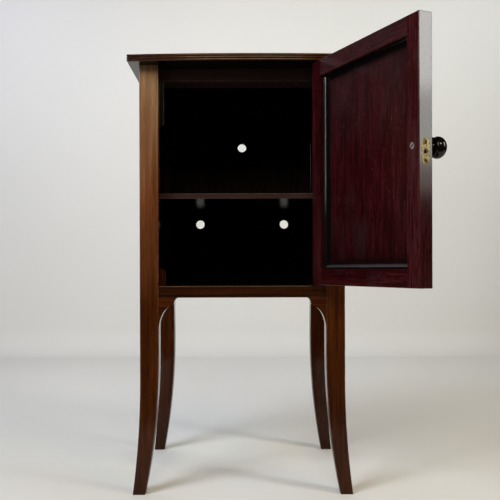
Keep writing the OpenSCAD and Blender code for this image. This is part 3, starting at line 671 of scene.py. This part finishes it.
def set_rods(node, tree, rods, home, values, finish, body):
    """Runs a screw or pin tree on (place, drive direction, spin in degrees) and settles it."""
    heads = [(home @ Vector(place), home.to_3x3() @ Vector(drive)) for place, drive, _ in rods]
    seed = bpy.data.meshes.new("seed")
    seed.from_pydata([start for start, _ in heads], [], [])
    turns = []
    for (_, drive), (*_, spin) in zip(heads, rods):
        aim = (-drive).to_track_quat("Z", "Y")
        turns += (aim @ Quaternion((0, 0, 1), math.radians(spin))).to_euler()
    seed.attributes.new("turn", "FLOAT_VECTOR", "POINT").data.foreach_set("vector", turns)
    mesh = evaluated(seed, tree, {**values, "Material": finish_of(finish)})

    def in_slot(spot):
        """1 for a face that lies under a head's top and inside its cone."""
        start, drive = min(heads, key=lambda head: (spot - head[0]).length)
        depth = (spot - start).dot(drive)
        off_axis = (spot - start - depth * drive).length
        return float(depth > 5e-5 and off_axis < values.get("Head", 0.0) / 2 - depth - 2e-4)

    # The faces in the screw slots are marked to be painted near black
    layer = mesh.attributes.new("grime", "FLOAT", "FACE")
    layer.data.foreach_set("value", [in_slot(face.center) for face in mesh.polygons])
    settle(node, mesh, finish, body, smooth=40)


# ---- Legs ----

def sweep_nodes(put, z, start, reach):
    """How far a leg face has swept out at height z: 0 above start, an arc down to reach."""
    def square(value):
        return put("*", value, value)

    below = put("max", put("-", start, z), 0.0)
    radius = put("/", put("+", square(start), square(reach)), put("*", reach, 2.0))
    root = put("Math SQRT", put("-", square(radius), square(below)))
    return put("-", radius, root)


def sabre_leg_tree():
    """A square leg whose faces sweep outwards to its foot, drawn by rule."""
    put, g = new_tree("Sabre leg", Width=LEG_W, Depth=LEG_D, Height=TOP_LO.z, Arris=0.0018,
                      Foot_width=FOOT_W, Foot_depth=FOOT_D, Side_kick=0.0125, End_kick=0.008,
                      Outer_sweep=OUTER_SWEEP, Inner_sweep=INNER_SWEEP, Middle_X=0.167,
                      Middle_Y=0.15, Side=1.0, End=-1.0)
    outline = put("CurvePrimitiveQuadrilateral", g["Width"], g["Depth"])
    rounded = put("FilletCurve", outline, named={"Radius": g["Arris"], "Count": 5}, mode="POLY")
    head = put("CombineXYZ", named={"Z": g["Height"]})
    line = put("CurvePrimitiveLine", named={"End": head})
    steps = put("ResampleCurve", line, named={"Count": 96})
    skin = put("CurveToMesh", steps, rounded, named={"Fill Caps": True})
    x, y, z = put("SeparateXYZ", put("InputPosition")).outputs

    def across(here, size, foot, kick, middle, sign):
        """Where a point that lies at here in the square leg comes to lie in the swept one."""
        share = put("+", put("/", here, size), 0.5)
        half = put("/", size, 2.0)
        outer = put("+", half, sweep_nodes(put, z, g["Outer sweep"], kick))
        inner_reach = put("-", put("+", size, kick), foot)
        inner = put("-", sweep_nodes(put, z, g["Inner sweep"], inner_reach), half)
        reach = put("+", inner, put("*", share, put("-", outer, inner)))
        return put("*", put("+", reach, middle), sign)

    moved = put("CombineXYZ", across(x, g["Width"], g["Foot width"], g["Side kick"],
                                     g["Middle X"], g["Side"]),
                across(y, g["Depth"], g["Foot depth"], g["End kick"], g["Middle Y"], g["End"]), z)
    return ended(put, g, put("SetPosition", skin, named={"Position": moved}))


def leg_dirt_and_shade(co):
    """The legs are darker towards the floor, partly dirt and partly painted shade, the right
    front one from higher up as a painted shadow of the door, and stained inside, which paints
    their shade.
    """
    low = 0.3 if co.x > 0 > co.y else 0.2
    return max(stain_and_shade_inside(co), 0.45 * (1 - co.z / low))


def scuffed_foot(co):
    """The legs have lost their polish near the floor, the rear ones from higher up."""
    return min(0.6, (0.18 - co.z) / 0.06) if co.y < 0 else min(0.5, (0.32 - co.z) / 0.1)


def leg_fade_and_light(co):
    """The legs are paler from two fifths of their height to the top, the rear less: partly faded
    by the sun, partly painted light.
    """
    return (1.0 if co.y < 0 else 0.45) * (co.z - 0.34) / 0.38


def side_fade_and_light(co):
    """The side panels are paler towards the top like the legs, but less: partly faded, partly
    painted light.
    """
    return 0.5 * (co.z - 0.34) / 0.38


class MakeLegs(bpy.types.Operator):
    """Four sabre legs, with recesses for the hinges and the strike plate"""
    bl_idname = "cupboard.legs"
    bl_label = "Legs"

    def execute(self, context):
        tree = sabre_leg_tree()
        arris = context.scene.cupboard_sizes.leg_arris
        # Each recess has a little play round the plate and runs out through the leg's face
        play, beyond, leaf_bed = 5e-5, 0.01, 0.00155
        low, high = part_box("strike_plate")
        cuts = {"leg_front_right": [], "leg_front_left": [
            ((low.x - play, low.y - play, low.z - play),
             (high.x + beyond, high.y + play, high.z + play))]}
        for level in ("lower", "upper"):
            low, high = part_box(f"hinge_{level}_frame_leaf")
            cuts["leg_front_right"].append(
                ((LEG_LO.x - beyond, LEG_LO.y - 2 * beyond, low.z - play),
                 (LEG_LO.x + leaf_bed, high.y + play, high.z + play)))
        for name, side, end in (("leg_front_left", -1.0, -1.0), ("leg_front_right", 1.0, -1.0),
                                ("leg_rear_left", -1.0, 1.0), ("leg_rear_right", 1.0, 1.0)):
            mesh = evaluated(bpy.data.meshes.new("seed"), tree, {
                "Arris": arris, "Middle X": BODY_X - LEG_W / 2,
                "Middle Y": BODY_Y - LEG_D / 2, "Side kick": LEG_HI.x - BODY_X,
                "End kick": -LEG_LO.y - BODY_Y, "Side": side, "End": end,
                "Material": finish_of("mahogany")})
            shape = bmesh.new()
            shape.from_mesh(mesh)
            bmesh.ops.remove_doubles(shape, verts=shape.verts, dist=1e-6)
            bmesh.ops.recalc_face_normals(shape, faces=shape.faces)
            shape.to_mesh(mesh)
            shape.free()
            if name in cuts:
                mesh = wood_boolean(mesh, cuts[name])
            settle(name, mesh, "mahogany", "carcass", (UP, RIGHT),
                   marks={"inside": leg_dirt_and_shade, "sun": leg_fade_and_light, "dull": scuffed_foot},
                   rounded=lambda n: float(abs(n.x) > 0.1 and abs(n.y) > 0.1))
        return {"FINISHED"}


# ---- Top board ----

def top_stain_and_shade(co):
    """The board's underside is stained dark, which paints the shade under the overhang, and its
    reeded edge is darkened by half.
    """
    if co.z < TOP_LO.z + 1e-5:
        return 1.0
    return 0.5 if co.z < TOP_HI.z - 1e-5 else 0.0


def used_top(co):
    """Use has dulled the polish on the upper face."""
    return 0.85 if co.z > TOP_HI.z - 1e-5 else 0.0


def reed_wear_and_highlight(n):
    """The reeds are paler along their crests and hardly in between, partly worn and partly a
    painted highlight; the flat faces aren't.
    """
    return max(0.01, 0.8 - 1.2 * abs(n.z)) if abs(n.z) < 0.999 else 0.0


class MakeTop(bpy.types.Operator):
    """The top board, bowed at the front and reeded round three sides"""
    bl_idname = "cupboard.top"
    bl_label = "Top board"

    def execute(self, context):
        sizes = context.scene.cupboard_sizes
        half = TOP_HI.x
        radius = (half * half + sizes.bow ** 2) / (2 * sizes.bow)
        middle_y = TOP_LO.y + radius
        reeds, reed_steps, front_steps, side_y = 3, 12, 64, 0.06
        reed = (TOP_HI.z - TOP_LO.z) / reeds

        def ring(inset, z):
            edge = half - inset
            xs = [-edge + 2 * edge * i / front_steps for i in range(front_steps + 1)]
            front = [(x, middle_y - math.sqrt((radius - inset) ** 2 - x * x), z) for x in xs]
            side = [(edge, -side_y, z), (edge, side_y, z), (edge, TOP_HI.y, z)]
            return [(-x, y, z) for x, y, z in side[::-1]] + front + side

        rings = []
        for i in range(reeds):
            for out, up in arc(-90, 90, reed_steps):
                z = TOP_LO.z + reed * (i + 0.5 + up / 2)
                if not rings or z > rings[-1][0][2] + 1e-7:
                    rings.append(ring(sizes.reed_depth * (1 - out), z))
        settle("top_board", lofted(rings), "mahogany", "carcass", (RIGHT, BACK), smooth=50,
               marks={"inside": top_stain_and_shade, "dull": used_top}, rounded=reed_wear_and_highlight, flats=True)
        return {"FINISHED"}


# ---- Boards, rails and brackets ----

CARCASS_BOARDS = (
    ("side_panel_left", "mahogany", UP, BACK), ("side_panel_right", "mahogany", UP, BACK),
    ("back_panel", "plain_stain", UP, RIGHT), ("floor_board", "stained_wood", RIGHT, BACK),
    ("shelf", "stained_wood", RIGHT, BACK),
    ("shelf_bearer_left", "stained_wood", BACK, UP),
    ("shelf_bearer_right", "stained_wood", BACK, UP),
    ("floor_bearer_left", "stained_wood", BACK, UP),
    ("floor_bearer_right", "stained_wood", BACK, UP),
    ("top_rail_front", "plain_stain", RIGHT, UP), ("top_rail_rear", "plain_stain", RIGHT, UP),
    ("bottom_rail_front", "mahogany", RIGHT, UP), ("bottom_rail_rear", "mahogany", RIGHT, UP),
    ("door_stop_upper", "stained_wood", UP, RIGHT), ("door_stop_lower", "mahogany", UP, RIGHT),
)


def shelf_lip(co):
    """1 at the front edge of the shelf, where the stain has rubbed thin."""
    return (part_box("shelf")[0].y + 0.0015 - co.y) / 0.0007


def stained_side(co):
    """1 on the inner face of a side panel, which is stained like the rest of the inside, and so
    painted in shade.
    """
    inner, outer = (corner.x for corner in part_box("side_panel_right"))
    return float(abs(co.x) < (inner + outer) / 2)


# Side panels are paler towards the top, partly painted light, and stained on their inner faces,
# which paints their shade; the front bottom rail is darkened halfway to the stain; the lower stop
# is left unstained
BOARD_MARKS = {
    "shelf": {"sun": shelf_lip},
    "side_panel_left": {"sun": side_fade_and_light, "inside": stained_side},
    "side_panel_right": {"sun": side_fade_and_light, "inside": stained_side},
    "top_rail_front": {"sun": lambda co: 0.75},
    "door_stop_lower": {"inside": lambda co: 0.0},
    "bottom_rail_front": {"inside": lambda co: 0.5},
}


class MakeCarcass(bpy.types.Operator):
    """Panels, floor, shelf, bearers, rails and door stops, with eased edges"""
    bl_idname = "cupboard.carcass"
    bl_label = "Carcass boards"

    def execute(self, context):
        for node, finish, along, across in CARCASS_BOARDS:
            dress(node, finish, "carcass", (along, across), along=along,
                  marks=BOARD_MARKS.get(node))
        return {"FINISHED"}


class MakeBrackets(bpy.types.Operator):
    """The two shaped brackets under the front rail"""
    bl_idname = "cupboard.brackets"
    bl_label = "Brackets"

    def execute(self, context):
        radius = 0.75 * context.scene.cupboard_sizes.board_arris
        width, height, thick = 0.035, 0.0585, 0.020
        hollow_w, hollow_h, hollow_end = 0.030, 0.046, 85
        # Up the hollow from the leg to the cusp, and round a small cove to the rail
        outline = [(hollow_w * (1 - x), RAIL_UNDER - height + hollow_h * y)
                   for x, y in arc(0, hollow_end, 40)]
        u, z = outline[-1]
        outline += [(u + (width - u) * (1 - x), z + (RAIL_UNDER - z) * y)
                    for x, y in arc(0, 90, 14)[1:]]
        outline.append((0.0, RAIL_UNDER))
        for side, node in ((-1, "bracket_left"), (1, "bracket_right")):
            shape = lofted([[(side * (LEG_LO.x - u), y, z) for u, z in outline]
                            for y in (-BODY_Y, -BODY_Y + thick)])
            curve = [e for e in shape.edges if abs(e.verts[0].co.y - e.verts[1].co.y) < 1e-6
                     and max(v.co.z for v in e.verts) < RAIL_UNDER + 1e-6
                     and e.calc_length() < 0.01]
            bmesh.ops.bevel(shape, geom=curve, offset=radius, segments=2, profile=0.5,
                            affect="EDGES", clamp_overlap=True)
            settle(node, shape, "mahogany", "carcass", (RIGHT, UP),
                   rounded=lambda n: float(0.1 < abs(n.y) < SQUARE))
        return {"FINISHED"}


# ---- Door ----

DOOR_BOARDS = (
    ("stile_hinge", UP, DOOR_RIGHT), ("stile_free", UP, DOOR_RIGHT),
    ("door_rail_top", DOOR_RIGHT, UP), ("door_rail_bottom", DOOR_RIGHT, UP),
    ("door_panel", UP, DOOR_RIGHT),
)


class MakeDoor(bpy.types.Operator):
    """The door's stiles, rails and panel, with the door's outer edges eased"""
    bl_idname = "cupboard.door"
    bl_label = "Door"

    def execute(self, context):
        shut = SWING.inverted()
        box = box_of([shut @ v.co for node, *_ in DOOR_BOARDS
                      for v in NODES[node].data.vertices])

        def lit_inside(co):
            """The free stile's inner face is painted a brighter red, as painted light."""
            return 0.35 if (shut @ co).y > DOOR_INNER - 0.001 else 0.0

        def dull_edge(co):
            """The free stile's edge is darker."""
            return 0.0 if lit_inside(co) else 0.4

        def haze(co):
            """The polish has bloomed most near the top of the door, and the grey there is also a
            painted sheen.
            """
            return (co.z - 0.58) / 0.15

        def grime(co):
            """Darkens the panel beside the beads and in its lower part: partly dirt, partly
            painted shade.
            """
            spot = shut @ co
            clear = min(spot.x - FRAME_L, FRAME_R - spot.x, spot.z - FRAME_B, FRAME_T - spot.z)
            low = 0.4 * max(0.0, 1 - (spot.z - FRAME_B) / 0.15)
            return low + max(0.0, 1 - max(0.0, clear - BEAD_W) / 0.022) ** 3

        for node, along, across in DOOR_BOARDS[:-1]:
            marks = {"stile_free": {"sun": lit_inside, "grime": dull_edge},
                     "door_rail_top": {"haze": haze}}.get(node)
            dress(node, "red_mahogany", "door", (along, across), home=SWING, box=box,
                  marks=marks)
        # The panel's faces are split into strips beside the beads, for the darkening there,
        # partly dirt and partly painted shade, to follow
        panel, along, across = DOOR_BOARDS[-1]
        shape = eased(panel, 0.0)
        for inset in (BEAD_W - 0.002, BEAD_W + 0.004, BEAD_W + 0.011, BEAD_W + 0.022, 0.15):
            for place, normal in (
                    ((FRAME_L + inset, 0, 0), RIGHT), ((FRAME_R - inset, 0, 0), RIGHT),
                    ((0, 0, FRAME_B + inset), UP), ((0, 0, FRAME_T - inset), UP)):
                bmesh.ops.bisect_plane(
                    shape, geom=[*shape.verts, *shape.edges, *shape.faces],
                    plane_co=SWING @ Vector(place), plane_no=SWING.to_3x3() @ normal)
        settle(panel, shape, "red_mahogany", "door", (along, across),
               marks={"grime": grime, "haze": haze})
        return {"FINISHED"}


def bead_places():
    """For each bead: its node, length, grain, and the way from its own axes to its place."""
    middle = Matrix.Translation(((FRAME_L + FRAME_R) / 2, PANEL_REAR, (FRAME_B + FRAME_T) / 2))
    wide, tall = FRAME_R - FRAME_L, FRAME_T - FRAME_B
    for node, degrees, run, reach, grain in (
            ("bead_top", 0, wide, tall, (DOOR_RIGHT, UP)),
            ("bead_bottom", 180, wide, tall, (DOOR_RIGHT, UP)),
            ("bead_hinge", 90, tall, wide, (UP, DOOR_RIGHT)),
            ("bead_free", 270, tall, wide, (UP, DOOR_RIGHT))):
        home = (SWING @ middle @ Matrix.Rotation(math.radians(degrees), 4, "Y")
                @ Matrix.Translation((0, 0, reach / 2)))
        yield node, run, grain, home


class MakeBeads(bpy.types.Operator):
    """The moulded beads that hold the panel, and their pins"""
    bl_idname = "cupboard.beads"
    bl_label = "Beads and pins"

    def execute(self, context):
        # A flattened round stands by the frame, turned 2 degrees at each step, and a flat
        # fillet lies against the panel
        flat, step = 0.0013, math.radians(2)
        crown = [(0.0, BEAD_H)]
        for i, radius in enumerate([0.00175] * 10 + [0.010] * 16 + [0.0012] * 19):
            a = (i + 0.5) * step
            u, h = crown[-1]
            crown.append((u + radius * step * math.cos(a), h - radius * step * math.sin(a)))
        out = crown[-1][0]
        profile = [(0.0, 0.0), (BEAD_W - 0.0001, 0.0), (BEAD_W - 0.0002, flat - 0.0003),
                   (BEAD_W - 0.0005, flat), (out, flat)] + crown[::-1]
        shut = SWING.inverted()

        def dusty(co):
            """Dust lies on the lowest bead, more of it towards the free stile."""
            spot = shut @ co
            if not 0.0028 < spot.z - FRAME_B < 0.0072:
                return 0.0
            return 1 - 0.5 * (spot.x - FRAME_L) / (FRAME_R - FRAME_L)

        pins, pin_height, pin_depth = [], 0.42 * BEAD_H, 0.006
        for node, run, grain, home in bead_places():
            rings = [[home @ Vector((end * (run / 2 - u), h, -u)) for u, h in profile]
                     for end in (-1, 1)]
            settle(node, lofted(rings), "ebonised_wood", "door", grain,
                   marks={"sun": dusty} if node == "bead_bottom" else None)
            place = shut @ home
            for share in (-0.29, 0.29) if run < 0.3 else (-0.41, -0.18, 0.18, 0.41):
                pins.append((place @ Vector((share * run, pin_height, -out - 0.0002)),
                             place.to_3x3() @ UP, 0))
        set_rods("bead_pins", panel_pin_tree(), pins, SWING, {"Length": out + pin_depth},
                 "black_steel", "door")
        return {"FINISHED"}


class MakeKnob(bpy.types.Operator):
    """The turned knob"""
    bl_idname = "cupboard.knob"
    bl_label = "Knob"

    def execute(self, context):
        rise = KNOB_L * 0.34
        mid = KNOB_L - rise
        # Base disc, hollow neck and ring, as shares of the radius and mm from the door
        profile = [(share * KNOB_R, mm / 1000) for share, mm in (
            (0, 0), (0.68, 0), (0.68, 1.4), (0.66, 1.8), (0.6, 2.4), (0.52, 3.5), (0.46, 5),
            (0.435, 6.3), (0.44, 7.5), (0.47, 8.6), (0.52, 9.5), (0.7, 10.2))]
        profile += [(share * KNOB_R, mid - rise + mm / 1000) for share, mm in (
            (0.82, 0.1), (0.865, 0.6), (0.88, 1.2), (0.875, 1.8), (0.83, 2.6), (0.75, 3),
            (0.72, 3.4))]
        profile += [(KNOB_R * x, mid + rise * y) for x, y in arc(-41, 64, 35)]
        # The sunk face, in mm below the knob's end
        profile += [(share * KNOB_R, KNOB_L - mm / 1000) for share, mm in (
            (0.425, 1.3), (0.405, 1.4), (0.345, 0.9), (0.25, 0.4), (0.13, 0.1), (0, 0))]
        home = (SWING @ Matrix.Translation((KNOB_X, DOOR_FACE, KNOB_Z))
                @ Matrix.Rotation(math.radians(90), 4, "X"))
        settle("knob", turned(profile, home, 96), "ebonised_wood", "door", (DOOR_BACK, UP))
        return {"FINISHED"}


# ---- Metalwork ----

class MakeHinges(bpy.types.Operator):
    """Hinge leaves with worn edges, and pins with turned caps"""
    bl_idname = "cupboard.hinges"
    bl_label = "Hinges"

    def execute(self, context):
        worn = context.scene.cupboard_sizes.plate_arris
        for level in ("upper", "lower"):
            dress(f"hinge_{level}_frame_leaf", "brass", "carcass", None, worn)
            dress(f"hinge_{level}_door_leaf", "brass", "door", None, worn, SWING)
            low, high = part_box(f"hinge_{level}_pin")
            half = (high.z - low.z) / 2
            cap = [(0.0, half), (0.0016, half), (0.0023, half - 0.0002),
                   (0.0027, half - 0.0006), (0.0025, half - 0.0011), (0.0015, half - 0.0012)]
            profile = cap + [(r, -d) for r, d in reversed(cap)]
            home = Matrix.Translation((low + high) / 2)
            settle(f"hinge_{level}_pin", turned(profile, home, 32), "brass", "carcass",
                   smooth=40)
        return {"FINISHED"}


class MakeCatch(bpy.types.Operator):
    """The ball catch: plates, barrel, ball and coil spring"""
    bl_idname = "cupboard.catch"
    bl_label = "Ball catch"

    def execute(self, context):
        sizes = context.scene.cupboard_sizes
        dress("strike_plate", "brass", "carcass", None, sizes.plate_arris)
        dress("catch_plate", "brass", "door", None, sizes.plate_arris, SWING)
        dress("catch_barrel", "brass", "door", None, 0.0, SWING, smooth=35)
        low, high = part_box("catch_ball")
        radius = (high.z - low.z) / 2
        turn = DOOR_RIGHT.to_track_quat("Z", "Y").to_matrix().to_4x4()
        ball = turned([(radius * x, radius * y) for x, y in arc(-90, 90, 32)],
                      Matrix.Translation((low + high) / 2) @ turn, 48)
        settle("catch_ball", ball, "black_steel", "catch_ball")
        low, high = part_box("catch_spring")
        wire, spring_r, spring_l = sizes.spring_wire, 0.0032, 0.0130
        mesh = evaluated(bpy.data.meshes.new("seed"), coil_spring_tree(), {
            "Wire": wire, "Radius": spring_r - wire / 2, "Length": spring_l - wire,
            "Turns": 9.0, "Material": finish_of("steel")})
        start = (low + high) / 2 - DOOR_RIGHT * (spring_l - wire) / 2
        mesh.transform(Matrix.Translation(start) @ turn)
        settle("catch_spring", mesh, "steel", "catch_ball", smooth=60)
        return {"FINISHED"}


class MakeScrews(bpy.types.Operator):
    """Every wood screw, each group at its node's places"""
    bl_idname = "cupboard.screws"
    bl_label = "Screws"

    def execute(self, context):
        tree = wood_screw_tree()
        # Diameter of the head and of the shank, and length
        small, wide, large = (0.0056, 0.0028, 0.013), (0.008, 0.004), (0.010, 0.0045, 0.0368)
        leaf_y, leaf_steps = -BODY_Y + 0.01116, (-0.015, 0.0, 0.015)
        top_xs, top_ys, top_z = (-0.1, 0.1), (-0.1153, 0.143), 0.7445
        bearer_x, bearer_ys, bearer_zs = 0.157, (-0.100875, 0.0, 0.100875), (0.35625, 0.5245)
        # Each screw's height and how far its slot is turned, in degrees
        at_plate = [(CATCH_Z + side * CATCH_SCREW, 60 + 35 * side) for side in (-1, 1)]
        at_leaf = [(z + step, 25 + 70 * i) for z in HINGE_ZS for i, step in enumerate(leaf_steps)]
        groups = (
            ("strike_screws", "brass", "carcass", STILL, small,
             [((-LEG_LO.x, CATCH_Y, z), -RIGHT, spin) for z, spin in at_plate]),
            ("catch_screws", "brown_brass", "door", SWING, small,
             [((DOOR_LEFT, CATCH_Y, z), RIGHT, spin) for z, spin in at_plate]),
            ("hinge_frame_screws", "brass", "carcass", STILL, small,
             [((LEG_LO.x, leaf_y, z), RIGHT, spin) for z, spin in at_leaf]),
            ("hinge_door_screws", "brass", "door", SWING, small,
             [((DOOR_RIGHT_EDGE, leaf_y, z), -RIGHT, spin) for z, spin in at_leaf]),
            ("knob_screw", "steel", "door", SWING, large,
             [((KNOB_X, DOOR_INNER, KNOB_Z), -BACK, 40)]),
            ("top_screws", "black_steel", "carcass", STILL, (*wide, 0.031),
             [((x, y, top_z), UP, 300 * x + 900 * y) for x in top_xs for y in top_ys]),
            ("bearer_screws", "black_steel", "carcass", STILL, (*wide, 0.020),
             [((side * bearer_x, y, z), RIGHT * side, 700 * y + 90 * z)
              for side in (-1, 1) for y in bearer_ys for z in bearer_zs]))
        for node, finish, body, home, (head, shank, run), rods in groups:
            set_rods(node, tree, rods, home,
                     {"Head": head, "Shank": shank, "Length": run, "Slot width": 0.14 * head,
                      "Slot depth": 0.225 * (head - shank)}, finish, body)
        return {"FINISHED"}


# ---- Studio ----

# Each lamp: place, width and height, watts, tint, and the point that it faces
LAMPS = (
    ("left_window", (-1.32, -1.46, 1.80), (1.1, 1.1), 43.5, (0.82, 0.89, 1.0), (0, 0, 0.8)),
    ("left_pane", (-1.38, -1.5, 1.02), (0.1, 0.68), 5.2, (0.95, 0.97, 1.0), (0, 0, 0.5)),
    ("right_high", (0.89, -1.27, 2.21), (0.6, 0.6), 6.6, (1.0, 0.52, 0.08), (0, 0, 0.3)),
    ("front_high", (0.0, -2.5, 2.0), (1.0, 0.6), 25, (1.0, 0.87, 0.52), (0, 0, 0.45)),
    ("right_window", (1.55, -1.05, 1.22), (0.4, 0.95), 10, (0.97, 1.0, 0.93), (0, 0, 0.5)),
    ("right_pane", (1.54, -1.04, 1.34), (0.4, 0.7), 6.2, (1.0, 0.98, 0.99), (0, 0, 0.5)),
    ("right_sill", (1.55, -1.05, 0.70), (0.4, 0.09), 0.3, (1.0, 0.9, 0.86), (0, 0, 0.5)),
    ("wall_left", (-1.3, 0.9, 1.8), (0.5, 0.5), 6.6, (0.74, 0.78, 1.0), (-0.9, 1.95, 0.6)),
    ("wall_middle", (0.0, 0.75, 1.6), (0.8, 0.3), 6.2, (1.0, 1.0, 0.95), (0, 1.95, 0.4)),
    ("wall_right", (1.3, 0.9, 1.9), (0.5, 0.5), 5.9, (0.93, 0.97, 1.0), (0.9, 1.95, 1.15)),
    ("back_pane", (-0.95, 0.95, 1.35), (0.35, 0.1), 0.6, (0.97, 0.98, 1.0), (0.2, -0.3, 0.4)),
)
# A lamp too warm to show as a highlight in the polish
HIDDEN = ("right_high",)


class MakeStudio(bpy.types.Operator):
    """Paper sweep, soft boxes, world and camera"""
    bl_idname = "cupboard.studio"
    bl_label = "Studio"

    def execute(self, context):
        scene = context.scene
        # Matt paper with a faint mottle, a few centimetres across
        paper, put = new_material("Studio paper, matt")
        mottle = put("TexNoise", put("TexCoord").outputs["Object"], 2.5, 2.0)
        tone = scene.cupboard_finishes.paper
        shade = (*[0.988 * v for v in tone[:3]], 1.0)
        put("OutputMaterial", put("BsdfPrincipled", named={
            "Base Color": put("ValToRGB", mottle, stops=[(0.35, shade), (0.65, tone)]),
            "Roughness": 0.7}))
        # The sweep's front and back edge, height, half its width, and its bend
        front_y, back_y, high, wide, bend = -0.98, 1.95, 2.6, 2.4, 0.12
        corner = [(back_y - bend + bend * y, bend - bend * x) for x, y in arc(0, 90, 16)]
        profile = [(front_y, 0.0), *corner, (back_y, high)]
        sweep = bmesh.new()
        left, right = ([sweep.verts.new((x, y, z)) for y, z in profile] for x in (-wide, wide))
        for i in range(len(profile) - 1):
            sweep.faces.new((left[i], right[i], right[i + 1], left[i + 1]))
        mesh = mesh_of(sweep, "studio_sweep")
        smooth_to(mesh, 40)
        mesh.materials.append(paper)
        stand("studio_sweep", mesh)
        for name, place, size, power, tint, aim in LAMPS:
            lamp = bpy.data.lights.new(name, "AREA")
            lamp.shape, lamp.size, lamp.size_y = "RECTANGLE", *size
            lamp.energy, lamp.color = power, tint
            holder = stand(name, lamp)
            holder.location = place
            away = Vector(place) - Vector(aim)
            holder.rotation_euler = away.to_track_quat("Z", "Y").to_euler()
            holder.visible_camera = False
            holder.visible_glossy = name not in HIDDEN
        scene.world = bpy.data.worlds.new("Studio air")
        scene.world.use_nodes = True
        air = scene.world.node_tree.nodes["Background"].inputs
        air["Color"].default_value, air["Strength"].default_value = grey(1.0), 0.02
        # The camera's distance from the cupboard, height and turn, as fitted to the view
        distance, eye, turn = 1.320, 0.403, -0.003
        lens = bpy.data.cameras.new("Camera")
        lens.sensor_width, lens.lens = 36.0, 53.06
        lens.shift_x, lens.shift_y = 0.0154, 0.0366
        scene.camera = stand("Camera", lens)
        scene.camera.location = (0.0, -BODY_Y - distance, eye)
        scene.camera.rotation_euler = (Matrix.Rotation(math.radians(90), 3, "X")
                                       @ Matrix.Rotation(turn, 3, "Z")).to_euler()
        scene.view_settings.view_transform = "Standard"
        return {"FINISHED"}


class CupboardPanel(bpy.types.Panel):
    """Buttons that make the cupboard's pieces"""
    bl_label = "Pot cupboard"
    bl_idname = "VIEW3D_PT_cupboard"
    bl_space_type = "VIEW_3D"
    bl_region_type = "UI"
    bl_category = "Cupboard"

    def draw(self, context):
        for operator in OPERATORS:
            self.layout.operator(operator.bl_idname)
        for group in (context.scene.cupboard_sizes, context.scene.cupboard_finishes):
            for name in group.__annotations__:
                self.layout.prop(group, name)


OPERATORS = (MakeTop, MakeLegs, MakeCarcass, MakeBrackets, MakeDoor, MakeBeads, MakeKnob,
             MakeHinges, MakeCatch, MakeScrews, MakeStudio)
CLASSES = (CupboardSizes, CupboardFinishes) + OPERATORS + (CupboardPanel,)


def register():
    for cls in CLASSES:
        bpy.utils.register_class(cls)
    bpy.types.Scene.cupboard_sizes = PointerProperty(type=CupboardSizes)
    bpy.types.Scene.cupboard_finishes = PointerProperty(type=CupboardFinishes)


def unregister():
    del bpy.types.Scene.cupboard_finishes
    del bpy.types.Scene.cupboard_sizes
    for cls in reversed(CLASSES):
        bpy.utils.unregister_class(cls)


def main():
    register()
    for operator in OPERATORS:
        group, action = operator.bl_idname.split(".")
        getattr(getattr(bpy.ops, group), action)()


if __name__ == "__main__":
    main()
